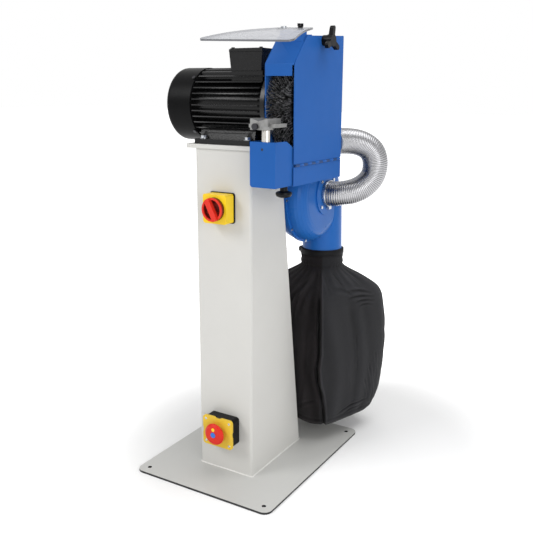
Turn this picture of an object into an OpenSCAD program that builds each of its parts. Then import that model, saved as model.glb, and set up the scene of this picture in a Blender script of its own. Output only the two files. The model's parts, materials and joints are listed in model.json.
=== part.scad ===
// Wire brush deburring machine: pedestal, foot-mounted motor, guarded brush wheel and dust extraction.
// Millimetres. Origin at the centre of the base plate's underside, +X along the motor shaft towards the
// brush, -Y towards the operator, +Z up.

/* [Pedestal] */
// Thickness of the base plate
base_t = 6; // [5:1:12]
// Corner radius of the base plate
base_r = 20; // [5:1:40]
// Spacing of the floor anchors, left to right
anchor_w = 350; // [280:10:360]
// Spacing of the floor anchors, front to back
anchor_d = 450; // [400:10:460]
// Distance from an anchor's centre to the base plate's edge
anchor_edge = 25; // [20:1:40]
// Diameter of the floor anchor holes
anchor_dia = 11; // [8:0.5:16]
// Width of the column
column_w = 160; // [150:2:180]
// Depth of the column at its foot
column_foot_d = 250; // [220:5:270]
// Depth of the column at its top
column_top_d = 136; // [120:2:150]
// Height of the column above the base plate
column_h = 822; // [760:2:880]
// Distance from the base plate's centre forward to the column's front
column_front = 130; // [124:1:136]
// Sheet thickness of the column
column_wall = 3; // [2:0.5:5]
// Outer bend radius of the column's edges
column_bend = 7; // [4:1:14]
// Thickness of the motor plate on the column
top_t = 10; // [6:1:14]
// Width of the motor plate
top_w = 200; // [176:2:204]
// Depth of the motor plate
top_d = 192; // [186:2:210]

/* [Motor] */
// Height of the shaft above the feet
shaft_height = 90; // [90:1:100]
// Distance from the base plate's centre forward to the shaft
shaft_front = 40; // [36:1:44]
// Spacing of the foot holes across the shaft
foot_a = 140; // [136:1:144]
// Spacing of the foot holes along the shaft
foot_b = 125; // [120:1:130]
// Diameter of the foot holes
foot_hole = 10; // [9:0.5:11]
// Distance from the front foot holes to the shaft shoulder
shoulder_c = 56; // [54:1:58]
// Offset of the foot hole pattern from the column's centre line
motor_x = -5; // [-8:1:0]
// Diameter of the shaft end
shaft_d = 24; // [20:1:28]
// Length of the shaft end
shaft_len = 50; // [44:1:54]
// Diameter over the cooling fins
fin_dia = 172; // [166:1:176]
// Number of fins on each flank
flank_fins = 11; // [7:2:13]
// Diameter of the motor's bore
stator_dia = 128; // [120:1:132]
// Outer diameter of the fan cowl
cowl_dia = 174; // [170:1:178]
// Length of the fan cowl
cowl_len = 75; // [70:1:90]
// Width of the terminal box
box_w = 83; // [70:1:90]
// Depth of the terminal box
box_d = 96; // [80:2:104]
// Height of the terminal box with its lid
box_h = 50; // [40:1:60]

/* [Brush] */
// Diameter of the brush wheel
brush_dia = 200; // [180:2:206]
// Width of the brush wheel
brush_w = 60; // [50:1:62]
// Diameter of the ring that holds the wires
brush_core_dia = 118; // [100:2:130]
// Rows of wires across the wheel
wire_rows = 12; // [6:1:13]
// Wires in each row
wires_in_row = 30; // [20:1:32]
// Diameter of the arbor sleeve
arbor_dia = 34; // [32:1:40]

/* [Guard] */
// Outer width of the guard across its side plates
guard_w = 74; // [73:0.5:78]
// Sheet thickness of the guard
guard_t = 2; // [1.5:0.25:2.5]
// Distance from the base plate's centre forward to the guard's front edge
guard_front = 133; // [130:1:136]
// Distance from the base plate's centre back to the guard's rear face
guard_back = 103; // [100:1:110]
// Depth of the guard below the shaft
guard_below = 172; // [166:1:176]
// Height of the guard above the shaft
guard_above = 162; // [150:1:168]
// Height of the guard's front lip above the shaft
lip_above = 91; // [88:1:94]
// Height of the front lip
lip_h = 26; // [20:1:32]
// Depth of the hood's slope
slope_d = 54; // [46:1:58]
// Fall of the hood's roof from back to front
roof_fall = 11; // [4:1:13]
// Height of the fixed sill under the door
sill_h = 42; // [36:1:50]
// Diameter of the door's hinge knuckles
knuckle_dia = 6; // [5:0.5:7]
// Number of hinge knuckles
knuckles = 12; // [6:2:16]

/* [Work rest] */
// Distance that the rest bracket stands out in front of the guard
bracket_out = 71; // [60:1:76]
// Height of the rest bracket
bracket_h = 98; // [90:1:104]
// Diameter of the rest's rod
rod_dia = 19; // [16:1:20]
// Length of the rest's rod
rod_len = 116; // [108:1:122]
// Width of the V block
vee_w = 44; // [36:1:48]
// Depth of the V block
vee_d = 54; // [44:1:56]

/* [Eye shield] */
// Width of the shield at its front
shield_w = 232; // [200:2:240]
// Width of the shield at its rear
shield_rear_w = 90; // [84:2:120]
// Length of the shield from its bolts to its front edge
shield_reach = 185; // [160:1:190]
// Thickness of the shield
shield_t = 4; // [3:0.5:5]
// Slope of the shield at its bolts
shield_tilt = 7.5; // [6:0.5:10]
// Further slope that the sheet bends into at its front
shield_bend = 9; // [4:1:12]
// Roll of the shield, right side down
shield_roll = 2; // [0:0.5:4]

/* [Extraction] */
// Outer diameter of the hose over its ribs
hose_dia = 66; // [60:1:70]
// Inner diameter of the hose
hose_bore = 56; // [52:1:57]
// Number of ribs on the hose
hose_ribs = 96; // [60:1:110]
// Outer diameter of the blower casing
blower_dia = 238; // [220:2:250]
// Width of the blower casing
blower_w = 94; // [88:1:95]
// Sheet thickness of the blower casing
blower_wall = 3; // [2:0.5:4]
// Outer diameter of the blower's outlet
outlet_dia = 111; // [100:1:112]
// Diameter of the impeller
impeller_dia = 180; // [150:2:190]
// Number of impeller blades
impeller_blades = 9; // [6:1:12]
// Side of the square dust bag at its fullest
bag_side = 292; // [240:4:292]
// Height of the dust bag
bag_h = 484; // [440:1:500]
// Thickness of the bag's cloth
bag_wall = 3; // [2:0.5:5]

/* [Switches] */
// Width of the main switch
switch_w = 66; // [60:1:80]
// Height of the main switch
switch_h = 69; // [64:1:84]
// Height of the main switch above the floor
switch_z = 692; // [600:2:740]
// Width of the stop switch
stop_w = 84; // [76:1:92]
// Height of the stop switch
stop_h = 72; // [64:1:80]
// Height of the stop switch above the floor
stop_z = 125; // [100:5:300]
// Travel of the stop button
stop_travel = 6; // [4:0.5:8]

/* [Fits] */
// Radial clearance of a turning fit
run_fit = 0.05; // [0.02:0.01:0.1]
// Gap between pieces that slide or swing past each other
gap = 0.3; // [0.2:0.05:0.5]

/* [Hidden] */
$fn = 64;
eps = 0.01;

// Pedestal
base_w = anchor_w + 2 * anchor_edge;
base_d = anchor_d + 2 * anchor_edge;
column_z = base_t;
column_top_z = column_z + column_h;
column_back = column_foot_d - column_front;
column_lean = atan((column_foot_d - column_top_d) / column_h);
function column_rear(z) = column_back - (column_foot_d - column_top_d) * (z - column_z) / column_h;
motor_z = column_top_z + top_t;
shaft_z = motor_z + shaft_height;
shaft_y = -shaft_front;

// Motor, along the shaft
shoulder_x = motor_x + foot_b / 2 + shoulder_c;
frame_x0 = motor_x - foot_b / 2 - 28;
frame_x1 = shoulder_x - 16;
shield_len = 11;
frame_r = fin_dia / 2 - 14;
bearing_od = 52;
bearing_bore = shaft_d + 1;
bearing_w = 15;
rear_shield_t = 8;
foot_t = 12;
flange_pcd = 115;
bolt_d = 8;
washer_t = 1.6;
key_w = 8;
key_h = 7;
key_z = shaft_d / 2 - 4;
key_len = shaft_len - 10;
cowl_wall = 1.6;
cowl_x0 = frame_x0 - cowl_len;
cowl_screw_x = frame_x0 - rear_shield_t / 2;
box_z = shaft_z + 78;
box_x = frame_x1 - box_w - 16;
box_y = shaft_y - 50;
lid_h = 8;

// Guard
guard_x0 = shoulder_x + 4.5;
guard_x1 = guard_x0 + guard_w;
guard_y0 = -guard_front;
guard_z0 = shaft_z - guard_below - 1;
guard_z1 = shaft_z + guard_above;
guard_cx = (guard_x0 + guard_x1) / 2;
slope_y = guard_y0 + slope_d;
lip_z = shaft_z + lip_above;
sheet_bend = 4;
sill_z = guard_z0 + sill_h;
hinge_z = sill_z + knuckle_dia / 2 + gap;
hinge_x = guard_x1;
door_z = hinge_z + knuckle_dia / 2 + gap;
nose_d = 95;
leaf_t = 1.2;
leaf_h = 16;
knob_axis_y = 0;
knob_axis_z = shaft_z + 145;
knob_stud = 8;
roof_z = guard_z1 - roof_fall;
function roof_at(y) = guard_z1 - roof_fall * (guard_back - y) / (guard_back - slope_y);
guard_outline = [[guard_y0, guard_z0], [guard_back, guard_z0], [guard_back, guard_z1],
    [slope_y, roof_z], [guard_y0, lip_z]];

// Brush, centred between the guard's sides
brush_x0 = guard_cx - brush_w / 2;
wire_d = 2.2;
wire_root_r = brush_core_dia / 2 - 3;
core_w = brush_w - 26;
flange_t = 6;
flange_dia = 92;
nut_w = 9;

// Work rest
bracket_y = guard_y0 - bracket_out;
bracket_x0 = guard_x0 + guard_t + 4;
bracket_x1 = guard_x1 - guard_t - leaf_t - 2 * gap;
bracket_z0 = guard_z0 + guard_t + gap;
bracket_z1 = bracket_z0 + bracket_h;
bracket_in = 58;
bracket_travel = 35;
knob_y = guard_y0 + 23;
slot_w = 9;
rod_y = bracket_y + 16;
rod_z0 = bracket_z0 + 22;
rod_z1 = rod_z0 + rod_len;
block_z0 = rod_z1 - 15;
block_h = 24;
clamp_dia = rod_dia + 14;

// Eye shield
shield_x = guard_cx + 5;
shield_y = slope_y - 10;
shield_z = roof_z + 12.5;
shield_off = [-8, 2];
shield_bolt_gap = 42;
shield_bolt = 6;
shield_slot = 26;
shield_flat = shield_slot + 14;

// Extraction
port_z = shaft_z - 90;
port_t = 2;
spigot_dia = hose_bore - 2 * run_fit;
spigot_len = 14;
blower_x = 70;
blower_z = 692;
seam_w = 6;
blower_y = round(column_rear(blower_z) + blower_dia / 2 + seam_w + 15);
inlet_y = blower_y + 12;
inlet_z = blower_z + 7;
inlet_disc_t = 4;
inlet_screw_r = 47;
inlet_bore = 78;
face_x = blower_x + blower_w / 2;
seam_t = 4;
outlet_y = blower_y + blower_dia / 2 - 32;
outlet_z = blower_z - 172;
outlet_taper = 6;
casing_round = 34;
hose_straight = 12;
hose_from = [guard_cx, guard_back + port_t, port_z];
hose_to = [face_x + inlet_disc_t, inlet_y, inlet_z];
hose_mid = [233, 226, 778];
hose_mid_dir = [-0.04, 0.13, -0.99];
bag_turn = -18;
bag_neck_r = outlet_dia / 2 + 0.3;
bag_top = outlet_z + 16;
motor_can_d = 124;
motor_can_len = 108;
can_x1 = blower_x - blower_w / 2;
can_x0 = can_x1 - motor_can_len - 6;
fan_shaft = 14;
shelf_z = inlet_z - motor_can_d / 2 - 10;
shelf_t = 6;

// Switches
face_y = -column_front;
switch_gasket = 4;
switch_depth = 31;
spindle_d = 8;
spindle_len = 12;
stop_depth = 30;
stop_cover_t = 6;
plunger_d = 14;

// Helpers: unit vector, and a polygon whose corners are rounded by arcs of n steps
function unit(v) = v / norm(v);
function corner(a, b, c, r, n) =
    let (u = unit(a - b), v = unit(c - b), h = acos(max(-1, min(1, u * v))) / 2,
        t = r / tan(h), m = b + unit(u + v) * r / sin(h), p = b + u * t - m, q = b + v * t - m)
    [for (i = [0:n]) m + r * unit(p * (n - i) / n + q * i / n)];
function rounded(pts, r, n = 4) =
    let (k = len(pts))
    [for (i = [0:k - 1]) each corner(pts[(i + k - 1) % k], pts[i], pts[(i + 1) % k], r, n)];
// A closed outline, counterclockwise, moved inwards by t
function inset(pts, t) =
    let (k = len(pts))
    [for (i = [0:k - 1])
        let (d = unit(pts[i] - pts[(i + k - 1) % k]), e = unit(pts[(i + 1) % k] - pts[i]),
            n = [-d[1], d[0]], m = [-e[1], e[0]])
        pts[i] + t * (n + m) / (1 + n * m)];
function box_outline(w, d) = [[-w / 2, -d / 2], [w / 2, -d / 2], [w / 2, d / 2], [-w / 2, d / 2]];

module plate(w, d, t, r) {
    linear_extrude(t) polygon(rounded(box_outline(w, d), r, 6));
}

// A cylinder along +X
module xcyl(d, h) {
    rotate([0, 90, 0]) cylinder(d = d, h = h);
}

// A cylinder along +Y
module ycyl(d, h) {
    rotate([-90, 0, 0]) cylinder(d = d, h = h);
}

// A ring along +X
module xring(od, id, h) {
    difference() {
        xcyl(od, h);
        translate([-1, 0, 0]) xcyl(id, h + 2);
    }
}

// An outline given as [y, z], drawn from x0 to x1
module yz_sheet(pts, x0, x1) {
    translate([x0, 0, 0]) rotate([90, 0, 90]) linear_extrude(x1 - x0) polygon(pts);
}

// An outline given as [x, z], drawn from y0 to y1
module xz_sheet(pts, y0, y1) {
    translate([0, y1, 0]) rotate([90, 0, 0]) linear_extrude(y1 - y0) polygon(pts);
}

module hex_bolt(d, head_h, len) {
    cylinder(d = d * 1.73, h = head_h, $fn = 6);
    translate([0, 0, -len]) cylinder(d = d, h = len + eps);
}

module at_feet() {
    for (sx = [-1, 1]) for (sy = [-1, 1])
        translate([motor_x + sx * foot_b / 2, shaft_y + sy * foot_a / 2, 0]) children();
}

// Pedestal
module base_plate() {
    color("#c3c1bb") difference() {
        plate(base_w, base_d, base_t, base_r);
        for (sx = [-1, 1]) for (sy = [-1, 1])
            translate([sx * anchor_w / 2, sy * anchor_d / 2, -1]) cylinder(d = anchor_dia, h = base_t + 2);
    }
}

// The column's outline: upright front, leaning back, t is the distance inside its skin
module column_body(t) {
    w = column_w - 2 * t;
    r = column_bend - t;
    reach = 400;
    front = [[-w / 2, -column_front + t], [w / 2, -column_front + t], [w / 2, reach], [-w / 2, reach]];
    back = [[-w / 2, -reach], [w / 2, -reach], [w / 2, -t], [-w / 2, -t]];
    intersection() {
        translate([0, 0, column_z]) linear_extrude(column_h) polygon(rounded(front, r));
        translate([0, column_back, column_z]) rotate([column_lean, 0, 0]) translate([0, 0, -80])
            linear_extrude(column_h + 120) polygon(rounded(back, r));
    }
}

module column() {
    color("#d8d7d2") difference() {
        column_body(0);
        column_body(column_wall);
    }
}

module motor_plate() {
    color("#d8d7d2") translate([motor_x, -column_front - 5 + top_d / 2, column_top_z]) difference() {
        plate(top_w, top_d, top_t, 8);
        translate([-motor_x, column_front + 5 - top_d / 2, -1]) at_feet() cylinder(d = bolt_d, h = top_t + 2);
    }
}

// Hex bolts of one size: four through the feet, four through the guard into the end shield
module frame_bolts() {
    color("silver") {
        at_feet() translate([0, 0, motor_z + foot_t + washer_t]) {
            hex_bolt(bolt_d, 5.3, foot_t + top_t + washer_t + 4);
            translate([0, 0, -washer_t]) cylinder(d = bolt_d * 2.4, h = washer_t);
        }
        translate([guard_x0 + guard_t, shaft_y, shaft_z]) for (a = [45:90:315])
            rotate([a, 0, 0]) translate([0, flange_pcd / 2, 0]) rotate([0, 90, 0]) hex_bolt(bolt_d, 4, 16);
    }
}

// Motor
module motor_foot(side) {
    half = foot_a / 2;
    h = -shaft_height;
    prof = [[half + 17, h], [half + 17, h + foot_t], [half - 6, h + foot_t], [half - 14, h + 44],
        [half - 24, h + 44], [half - 22, h]];
    difference() {
        translate([0, shaft_y, shaft_z]) mirror([0, side < 0 ? 1 : 0, 0])
            yz_sheet(prof, motor_x - foot_b / 2 - 15, motor_x + foot_b / 2 + 15);
        at_feet() translate([0, 0, motor_z - 1]) cylinder(d = foot_hole, h = foot_t + 2);
        at_feet() translate([0, 0, motor_z + foot_t]) cylinder(d = bolt_d * 2.4 + 2, h = 40);
    }
}

module motor_frame() {
    frame_len = frame_x1 - frame_x0;
    step = (fin_dia - 40) / (flank_fins - 1);
    fin_t = 2.6;
    color("#1d1d1e") difference() {
        union() {
            translate([frame_x0, shaft_y, shaft_z]) xcyl(frame_r * 2, frame_len);
            intersection() {
                translate([frame_x0, shaft_y, shaft_z]) xcyl(fin_dia, frame_len);
                union() {
                    for (i = [0:flank_fins - 1])
                        translate([frame_x0 + 4, shaft_y - fin_dia / 2, shaft_z - (fin_dia - 40) / 2 + i * step
                            - fin_t / 2]) cube([frame_len - 8, fin_dia, fin_t]);
                    for (i = [-3:3])
                        translate([frame_x0 + 4, shaft_y + i * step - fin_t / 2, shaft_z - fin_dia / 2])
                            cube([frame_len - 8, fin_t, fin_dia]);
                }
            }
            translate([box_x - 1, shaft_y - 46, shaft_z]) cube([box_w + 2, 88, box_z - shaft_z]);
            motor_foot(1);
            motor_foot(-1);
        }
        translate([frame_x0 - 1, shaft_y, shaft_z]) xcyl(stator_dia, frame_len + 2);
        // Seat of the terminal box
        translate([box_x - 6, box_y - 2, box_z]) cube([box_w + 12, box_d + 4, 40]);
    }
}

module end_shield(od, len) {
    difference() {
        xcyl(od, len);
        translate([-1, 0, 0]) xcyl(bearing_od, len + 2);
    }
}

module drive_end_shield() {
    color("#1d1d1e") translate([frame_x1, shaft_y, shaft_z]) difference() {
        union() {
            end_shield(fin_dia - 6, shield_len);
            translate([shield_len - eps, 0, 0]) xring(nose_d, shaft_d + 6, shoulder_x - frame_x1 - shield_len);
            for (a = [45:90:315]) rotate([a, 0, 0]) translate([0, flange_pcd / 2, 0])
                xcyl(20, guard_x0 - frame_x1);
        }
        translate([-1, 0, 0]) xcyl(bearing_od, 1 + bearing_w);
        for (a = [45:90:315]) rotate([a, 0, 0]) translate([guard_x0 - frame_x1 - 20, flange_pcd / 2, 0])
            xcyl(bolt_d, 30);
    }
}

module rear_end_shield() {
    color("#1d1d1e") translate([frame_x0 - rear_shield_t, shaft_y, shaft_z]) difference() {
        union() {
            end_shield(cowl_dia - 2 * cowl_wall - 2 * gap, rear_shield_t);
            translate([rear_shield_t - eps, 0, 0]) xring(bearing_od + 14, bearing_od, 10);
        }
        for (a = [45:90:315]) rotate([a, 0, 0]) translate([rear_shield_t / 2, 0, cowl_dia / 2 - 8])
            cylinder(d = 5, h = 10);
    }
}

module motor_bearings() {
    color("#b9bcc0") {
        translate([frame_x1, shaft_y, shaft_z]) xring(bearing_od, bearing_bore + 2 * run_fit, bearing_w);
        translate([frame_x0 - 6, shaft_y, shaft_z]) xring(bearing_od, bearing_bore + 2 * run_fit, bearing_w);
    }
}

module stator() {
    core = 110;
    mid = (frame_x0 + frame_x1) / 2;
    color("#8c8f93") translate([mid, shaft_y, shaft_z]) {
        translate([-core / 2, 0, 0]) xring(stator_dia, 92, core);
        for (s = [-1, 1]) translate([s > 0 ? core / 2 : -core / 2 - 22, 0, 0]) xring(118, 96, 22);
    }
}

module rotor_core() {
    core = 110;
    mid = (frame_x0 + frame_x1) / 2;
    color("#a7a9ac") translate([mid, shaft_y, shaft_z]) {
        translate([-core / 2, 0, 0]) xring(91, 38, core);
        for (s = [-1, 1]) translate([s > 0 ? core / 2 : -core / 2 - 10, 0, 0]) xring(86, 60, 10);
    }
}

module motor_shaft() {
    mid = (frame_x0 + frame_x1) / 2;
    fan_x = frame_x0 - 52;
    color("silver") translate([0, shaft_y, shaft_z]) difference() {
        union() {
            translate([fan_x, 0, 0]) xcyl(20, frame_x0 - fan_x);
            translate([frame_x0 - 6, 0, 0]) xcyl(bearing_bore, frame_x1 - frame_x0 + 6 + bearing_w);
            translate([mid - 70, 0, 0]) xcyl(38, 140);
            translate([frame_x1 + bearing_w - eps, 0, 0])
                xcyl(shaft_d, shoulder_x + shaft_len - frame_x1 - bearing_w);
        }
        translate([shoulder_x + 5, -key_w / 2, key_z]) cube([key_len, key_w, key_h]);
    }
}

module shaft_key() {
    color("silver") translate([shoulder_x + 5, shaft_y - key_w / 2, shaft_z + key_z]) cube([key_len, key_w, key_h]);
}

module cooling_fan() {
    fan_x = frame_x0 - 50;
    color("#3a3a3c") translate([fan_x, shaft_y, shaft_z]) {
        xring(34, 20, 22);
        translate([16, 0, 0]) xring(cowl_dia - 40, 30, 2.5);
        for (i = [0:7]) rotate([i * 45, 0, 0]) translate([0, 15, -1]) cube([17, (cowl_dia - 40) / 2 - 17, 2]);
    }
}

module fan_cowl() {
    wall = cowl_wall;
    r = cowl_dia / 2;
    bend = 14;
    prof = [[0, 0], [r - bend, 0], each [for (a = [-75:15:-15]) [r - bend + bend * cos(a), bend + bend * sin(a)]],
        [r, bend], [r, cowl_len], [r - wall, cowl_len], [r - wall, bend],
        each [for (a = [-15:-15:-75]) [r - bend + (bend - wall) * cos(a), bend + (bend - wall) * sin(a)]],
        [r - bend, wall], [0, wall]];
    color("#1a1a1b") translate([cowl_x0, shaft_y, shaft_z]) difference() {
        rotate([0, 90, 0]) rotate_extrude() polygon(prof);
        for (k = [0:4]) difference() {
            translate([-1, 0, 0]) xring(38 + 24 * k, 26 + 24 * k, 4);
            for (a = [0:60:120]) rotate([a, 0, 0]) translate([-2, -2, -r]) cube([6, 4, 2 * r]);
        }
        for (a = [45:90:315]) rotate([a, 0, 0]) translate([cowl_screw_x - cowl_x0, 0, 0])
            cylinder(d = 5, h = r + 1);
    }
}

module cowl_screws() {
    color("#2a2a2b") translate([cowl_screw_x, shaft_y, shaft_z]) for (a = [45:90:315])
        rotate([a, 0, 0]) translate([0, 0, cowl_dia / 2]) {
            cylinder(d = 9, h = 3.2);
            translate([0, 0, -5]) cylinder(d = 4.8, h = 5 + eps);
        }
}

module terminal_box() {
    prof = [[box_x, box_z], [box_x + box_w, box_z], [box_x + box_w + 2, box_z + box_h - lid_h],
        [box_x - 5, box_z + box_h - lid_h]];
    hollow = [[box_x + 3, box_z + 3], [box_x + box_w - 3, box_z + 3], [box_x + box_w - 1, box_z + box_h],
        [box_x - 2, box_z + box_h]];
    color("#1c1c1d") difference() {
        xz_sheet(prof, box_y, box_y + box_d);
        xz_sheet(hollow, box_y + 3, box_y + box_d - 3);
        translate([box_x + box_w / 2, box_y + box_d - 4, box_z + 20]) ycyl(20, 6);
    }
}

module terminal_lid() {
    w = box_w + 9;
    color("#202021") translate([box_x + box_w / 2 - 1.5, box_y + box_d / 2, box_z + box_h - lid_h]) {
        plate(w, box_d + 3, 6, 4);
        translate([0, 0, 6 - eps]) plate(w - 5, box_d - 2, 2, 3);
        for (sx = [-1, 1]) for (sy = [-1, 1])
            translate([sx * (w / 2 - 8), sy * (box_d / 2 - 7), 8 - 2 * eps]) cylinder(d = 8, h = 2.2);
    }
}

module cable_gland() {
    color("#202021") translate([box_x + box_w / 2, box_y + box_d - 3, box_z + 20]) difference() {
        union() {
            ycyl(19.8, 4);
            translate([0, 3, 0]) rotate([-90, 0, 0]) cylinder(d = 28, h = 6, $fn = 6);
            translate([0, 9 - eps, 0]) ycyl(23, 12);
        }
        translate([0, -1, 0]) ycyl(11, 24);
    }
}

// Guard
module guard_side_plate() {
    color("#3468b2") difference() {
        yz_sheet(rounded(guard_outline, 3), guard_x0, guard_x0 + guard_t);
        translate([guard_x0 - 1, shaft_y, shaft_z]) xcyl(70, guard_t + 2);
        for (a = [45:90:315]) translate([guard_x0 - 1, shaft_y, shaft_z]) rotate([a, 0, 0])
            translate([0, flange_pcd / 2, 0]) xcyl(bolt_d + 1, guard_t + 2);
    }
}

// The sheet that runs round the guard: floor, back, roof, slope and front lip
module guard_wrap() {
    x0 = guard_x0 + guard_t;
    x1 = guard_x1 - guard_t;
    outer = rounded(guard_outline, sheet_bend);
    inner = rounded(inset(guard_outline, guard_t), sheet_bend - guard_t);
    color("#3468b2") difference() {
        yz_sheet(outer, x0, x1);
        yz_sheet(inner, x0 - 1, x1 + 1);
        // Brush opening, from the floor to the front lip
        translate([x0 - 1, guard_y0 - 1, guard_z0 + guard_t]) cube([x1 - x0 + 2, 20, lip_z - lip_h - guard_z0 - guard_t]);
        // Gap between the lip and the door
        translate([x1 - 4, guard_y0 - 1, guard_z0 + guard_t]) cube([5, guard_t + 2, lip_z - 4 - guard_z0 - guard_t]);
        // Dust port
        translate([guard_cx, guard_back - 6, port_z]) ycyl(hose_bore - 4, 10);
        // Bracket knob's stud
        translate([guard_cx, knob_y, guard_z0 - 1]) cylinder(d = slot_w, h = guard_t + 2);
    }
    // Nut for the door knob, on a tab that hangs from the roof
    color("#3468b2") difference() {
        translate([x1 - 16, knob_axis_y - 12, knob_axis_z - 10])
            cube([16, 24, roof_at(knob_axis_y - 12) - knob_axis_z + 10 - 0.2]);
        translate([x1 - 17, knob_axis_y, knob_axis_z]) xcyl(knob_stud + 2, 18);
    }
}

module guard_sill() {
    sill = [[guard_y0 + 2, guard_z0], [guard_back, guard_z0], [guard_back, sill_z], [guard_y0 + 2, sill_z]];
    color("#3468b2") yz_sheet(rounded(sill, 1.5), guard_x1 - guard_t, guard_x1);
}

function knuckle_y(i) = guard_y0 + 8 + i * (guard_back - guard_y0 - 14) / knuckles;
knuckle_len = (guard_back - guard_y0 - 14) / knuckles - gap;

// Every other knuckle with the web that joins it to its leaf; up is 1 for the door's leaf
module hinge_knuckles(first, up) {
    for (i = [first:2:knuckles - 1]) difference() {
        union() {
            translate([hinge_x, knuckle_y(i), hinge_z]) ycyl(knuckle_dia, knuckle_len);
            translate([hinge_x - knuckle_dia / 2, knuckle_y(i), up > 0 ? hinge_z : hinge_z - knuckle_dia / 2 - gap])
                cube([leaf_t, knuckle_len, knuckle_dia / 2 + gap]);
        }
        translate([hinge_x, knuckle_y(i) - 1, hinge_z]) ycyl(knuckle_dia / 2 + 2 * run_fit, knuckle_len + 2);
    }
}

module hinge_leaf() {
    color("#3468b2") {
        hinge_knuckles(0, -1);
        translate([hinge_x - guard_t - leaf_t, knuckle_y(0), sill_z - leaf_h])
            cube([leaf_t, guard_back - guard_y0 - 14, leaf_h]);
        for (i = [0:2:knuckles - 1])
            translate([guard_x1 - guard_t - leaf_t, knuckle_y(i), sill_z - 2])
                cube([leaf_t, knuckle_len, knuckle_dia / 2 + gap]);
    }
}

module hinge_pin() {
    color("silver") translate([hinge_x, knuckle_y(0) + 1, hinge_z]) ycyl(knuckle_dia / 2, guard_back - guard_y0 - 17);
}

module side_door() {
    y0 = guard_y0 + 2;
    door = [[y0, door_z], [guard_back, door_z], [guard_back, guard_z1], [slope_y + 1, roof_z], [y0, lip_z]];
    x0 = guard_x1 - guard_t + gap;
    color("#3468b2") {
        difference() {
            yz_sheet(rounded(door, 3), x0, x0 + guard_t);
            translate([x0 - 1, knob_axis_y, knob_axis_z]) xcyl(knob_stud + 2 * gap, guard_t + 2);
        }
        hinge_knuckles(1, 1);
        for (i = [1:2:knuckles - 1])
            translate([hinge_x - knuckle_dia / 2, knuckle_y(i), hinge_z + 1])
                cube([leaf_t + 0.2, knuckle_len, knuckle_dia / 2 + gap]);
        translate([x0 - leaf_t, knuckle_y(0), door_z]) cube([leaf_t + eps, guard_back - guard_y0 - 14, leaf_h]);
    }
}

// Wing knob about Z: a hub with round-ended wings that sweep up by rise at their tips
module lobed_knob(reach, thick, rise, angles) {
    cylinder(d = 27, h = thick);
    for (a = angles) rotate(a) intersection() {
        translate([0, 6, 0]) rotate([90, 0, 0]) linear_extrude(12)
            polygon([[0, 1], [reach, rise], [reach, thick - 4 + rise], [0, thick - 1]]);
        union() {
            translate([0, -6, -1]) cube([reach - 6, 12, thick + rise + 2]);
            translate([reach - 6, 0, -1]) cylinder(d = 12, h = thick + rise + 2);
        }
    }
}

module door_knob() {
    x = guard_x1 + gap + 0.2;
    neck = 12;
    color("#1b1b1c") translate([x, knob_axis_y, knob_axis_z]) {
        rotate([90, 0, 90]) translate([0, 0, neck]) lobed_knob(32, 13, 5, [88, -32, 208]);
        xcyl(24, neck + eps);
        translate([-16, 0, 0]) xcyl(knob_stud, 17);
    }
}

module dust_port() {
    color("#b9bcc0") translate([guard_cx, guard_back, port_z]) difference() {
        union() {
            ycyl(84, port_t);
            ycyl(spigot_dia, port_t + spigot_len);
        }
        translate([0, -1, 0]) ycyl(hose_bore - 4, spigot_len + 4);
    }
}

// Hose: two cubic curves that meet at hose_mid, ribbed by a rise and fall of the radius
function bez(a, b, c, d, t) =
    (1 - t) * (1 - t) * (1 - t) * a + 3 * (1 - t) * (1 - t) * t * b + 3 * (1 - t) * t * t * c + t * t * t * d;
hose_start = hose_from + [0, hose_straight, 0];
hose_end = hose_to + [hose_straight, 0, 0];
hose_dir = unit(hose_mid_dir);
function hose_curve(t) = t < 0.5
    ? bez(hose_start, hose_start + [0, 54, 0], hose_mid - 74 * hose_dir, hose_mid, 2 * t)
    : bez(hose_mid, hose_mid + 68 * hose_dir, hose_end + [42, 0, 0], hose_end, 2 * t - 1);
bend_steps = 160;
bend_pts = [for (i = [0:bend_steps]) hose_curve(i / bend_steps)];
function running(p, i = 0, s = 0) =
    i >= len(p) ? [] : let (d = i == 0 ? 0 : norm(p[i] - p[i - 1])) concat([s + d], running(p, i + 1, s + d));
bend_s = running(bend_pts);
bhose_straight = bend_s[bend_steps];
hose_len = bhose_straight + 2 * hose_straight;
// The centre line at the distance s from the guard's end
function along(s) = s <= hose_straight
    ? hose_from + [0, s, 0]
    : s >= hose_len - hose_straight
        ? hose_to + [hose_len - s, 0, 0]
        : let (u = s - hose_straight, i = max([for (k = [0:bend_steps - 1]) if (bend_s[k] <= u) k]),
            f = (u - bend_s[i]) / (bend_s[i + 1] - bend_s[i]))
        bend_pts[i] * (1 - f) + bend_pts[i + 1] * f;
function heading(s) = s <= hose_straight / 2
    ? [0, 1, 0]
    : s >= hose_len - hose_straight / 2 ? [-1, 0, 0] : unit(along(min(hose_len, s + 5)) - along(max(0, s - 5)));
// A ring of eight points square to the centre line
function ring_at(s, r) =
    let (c = along(s), d = heading(s), u = unit(cross(d, [1, -1, 1])), v = cross(d, u))
    [for (k = [0:7]) c + r * (cos(45 * k) * u + sin(45 * k) * v)];
function band(a, b) = [for (k = [0:7]) each [[a + k, a + (k + 1) % 8, b + (k + 1) % 8], [a + k, b + (k + 1) % 8, b + k]]];

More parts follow.
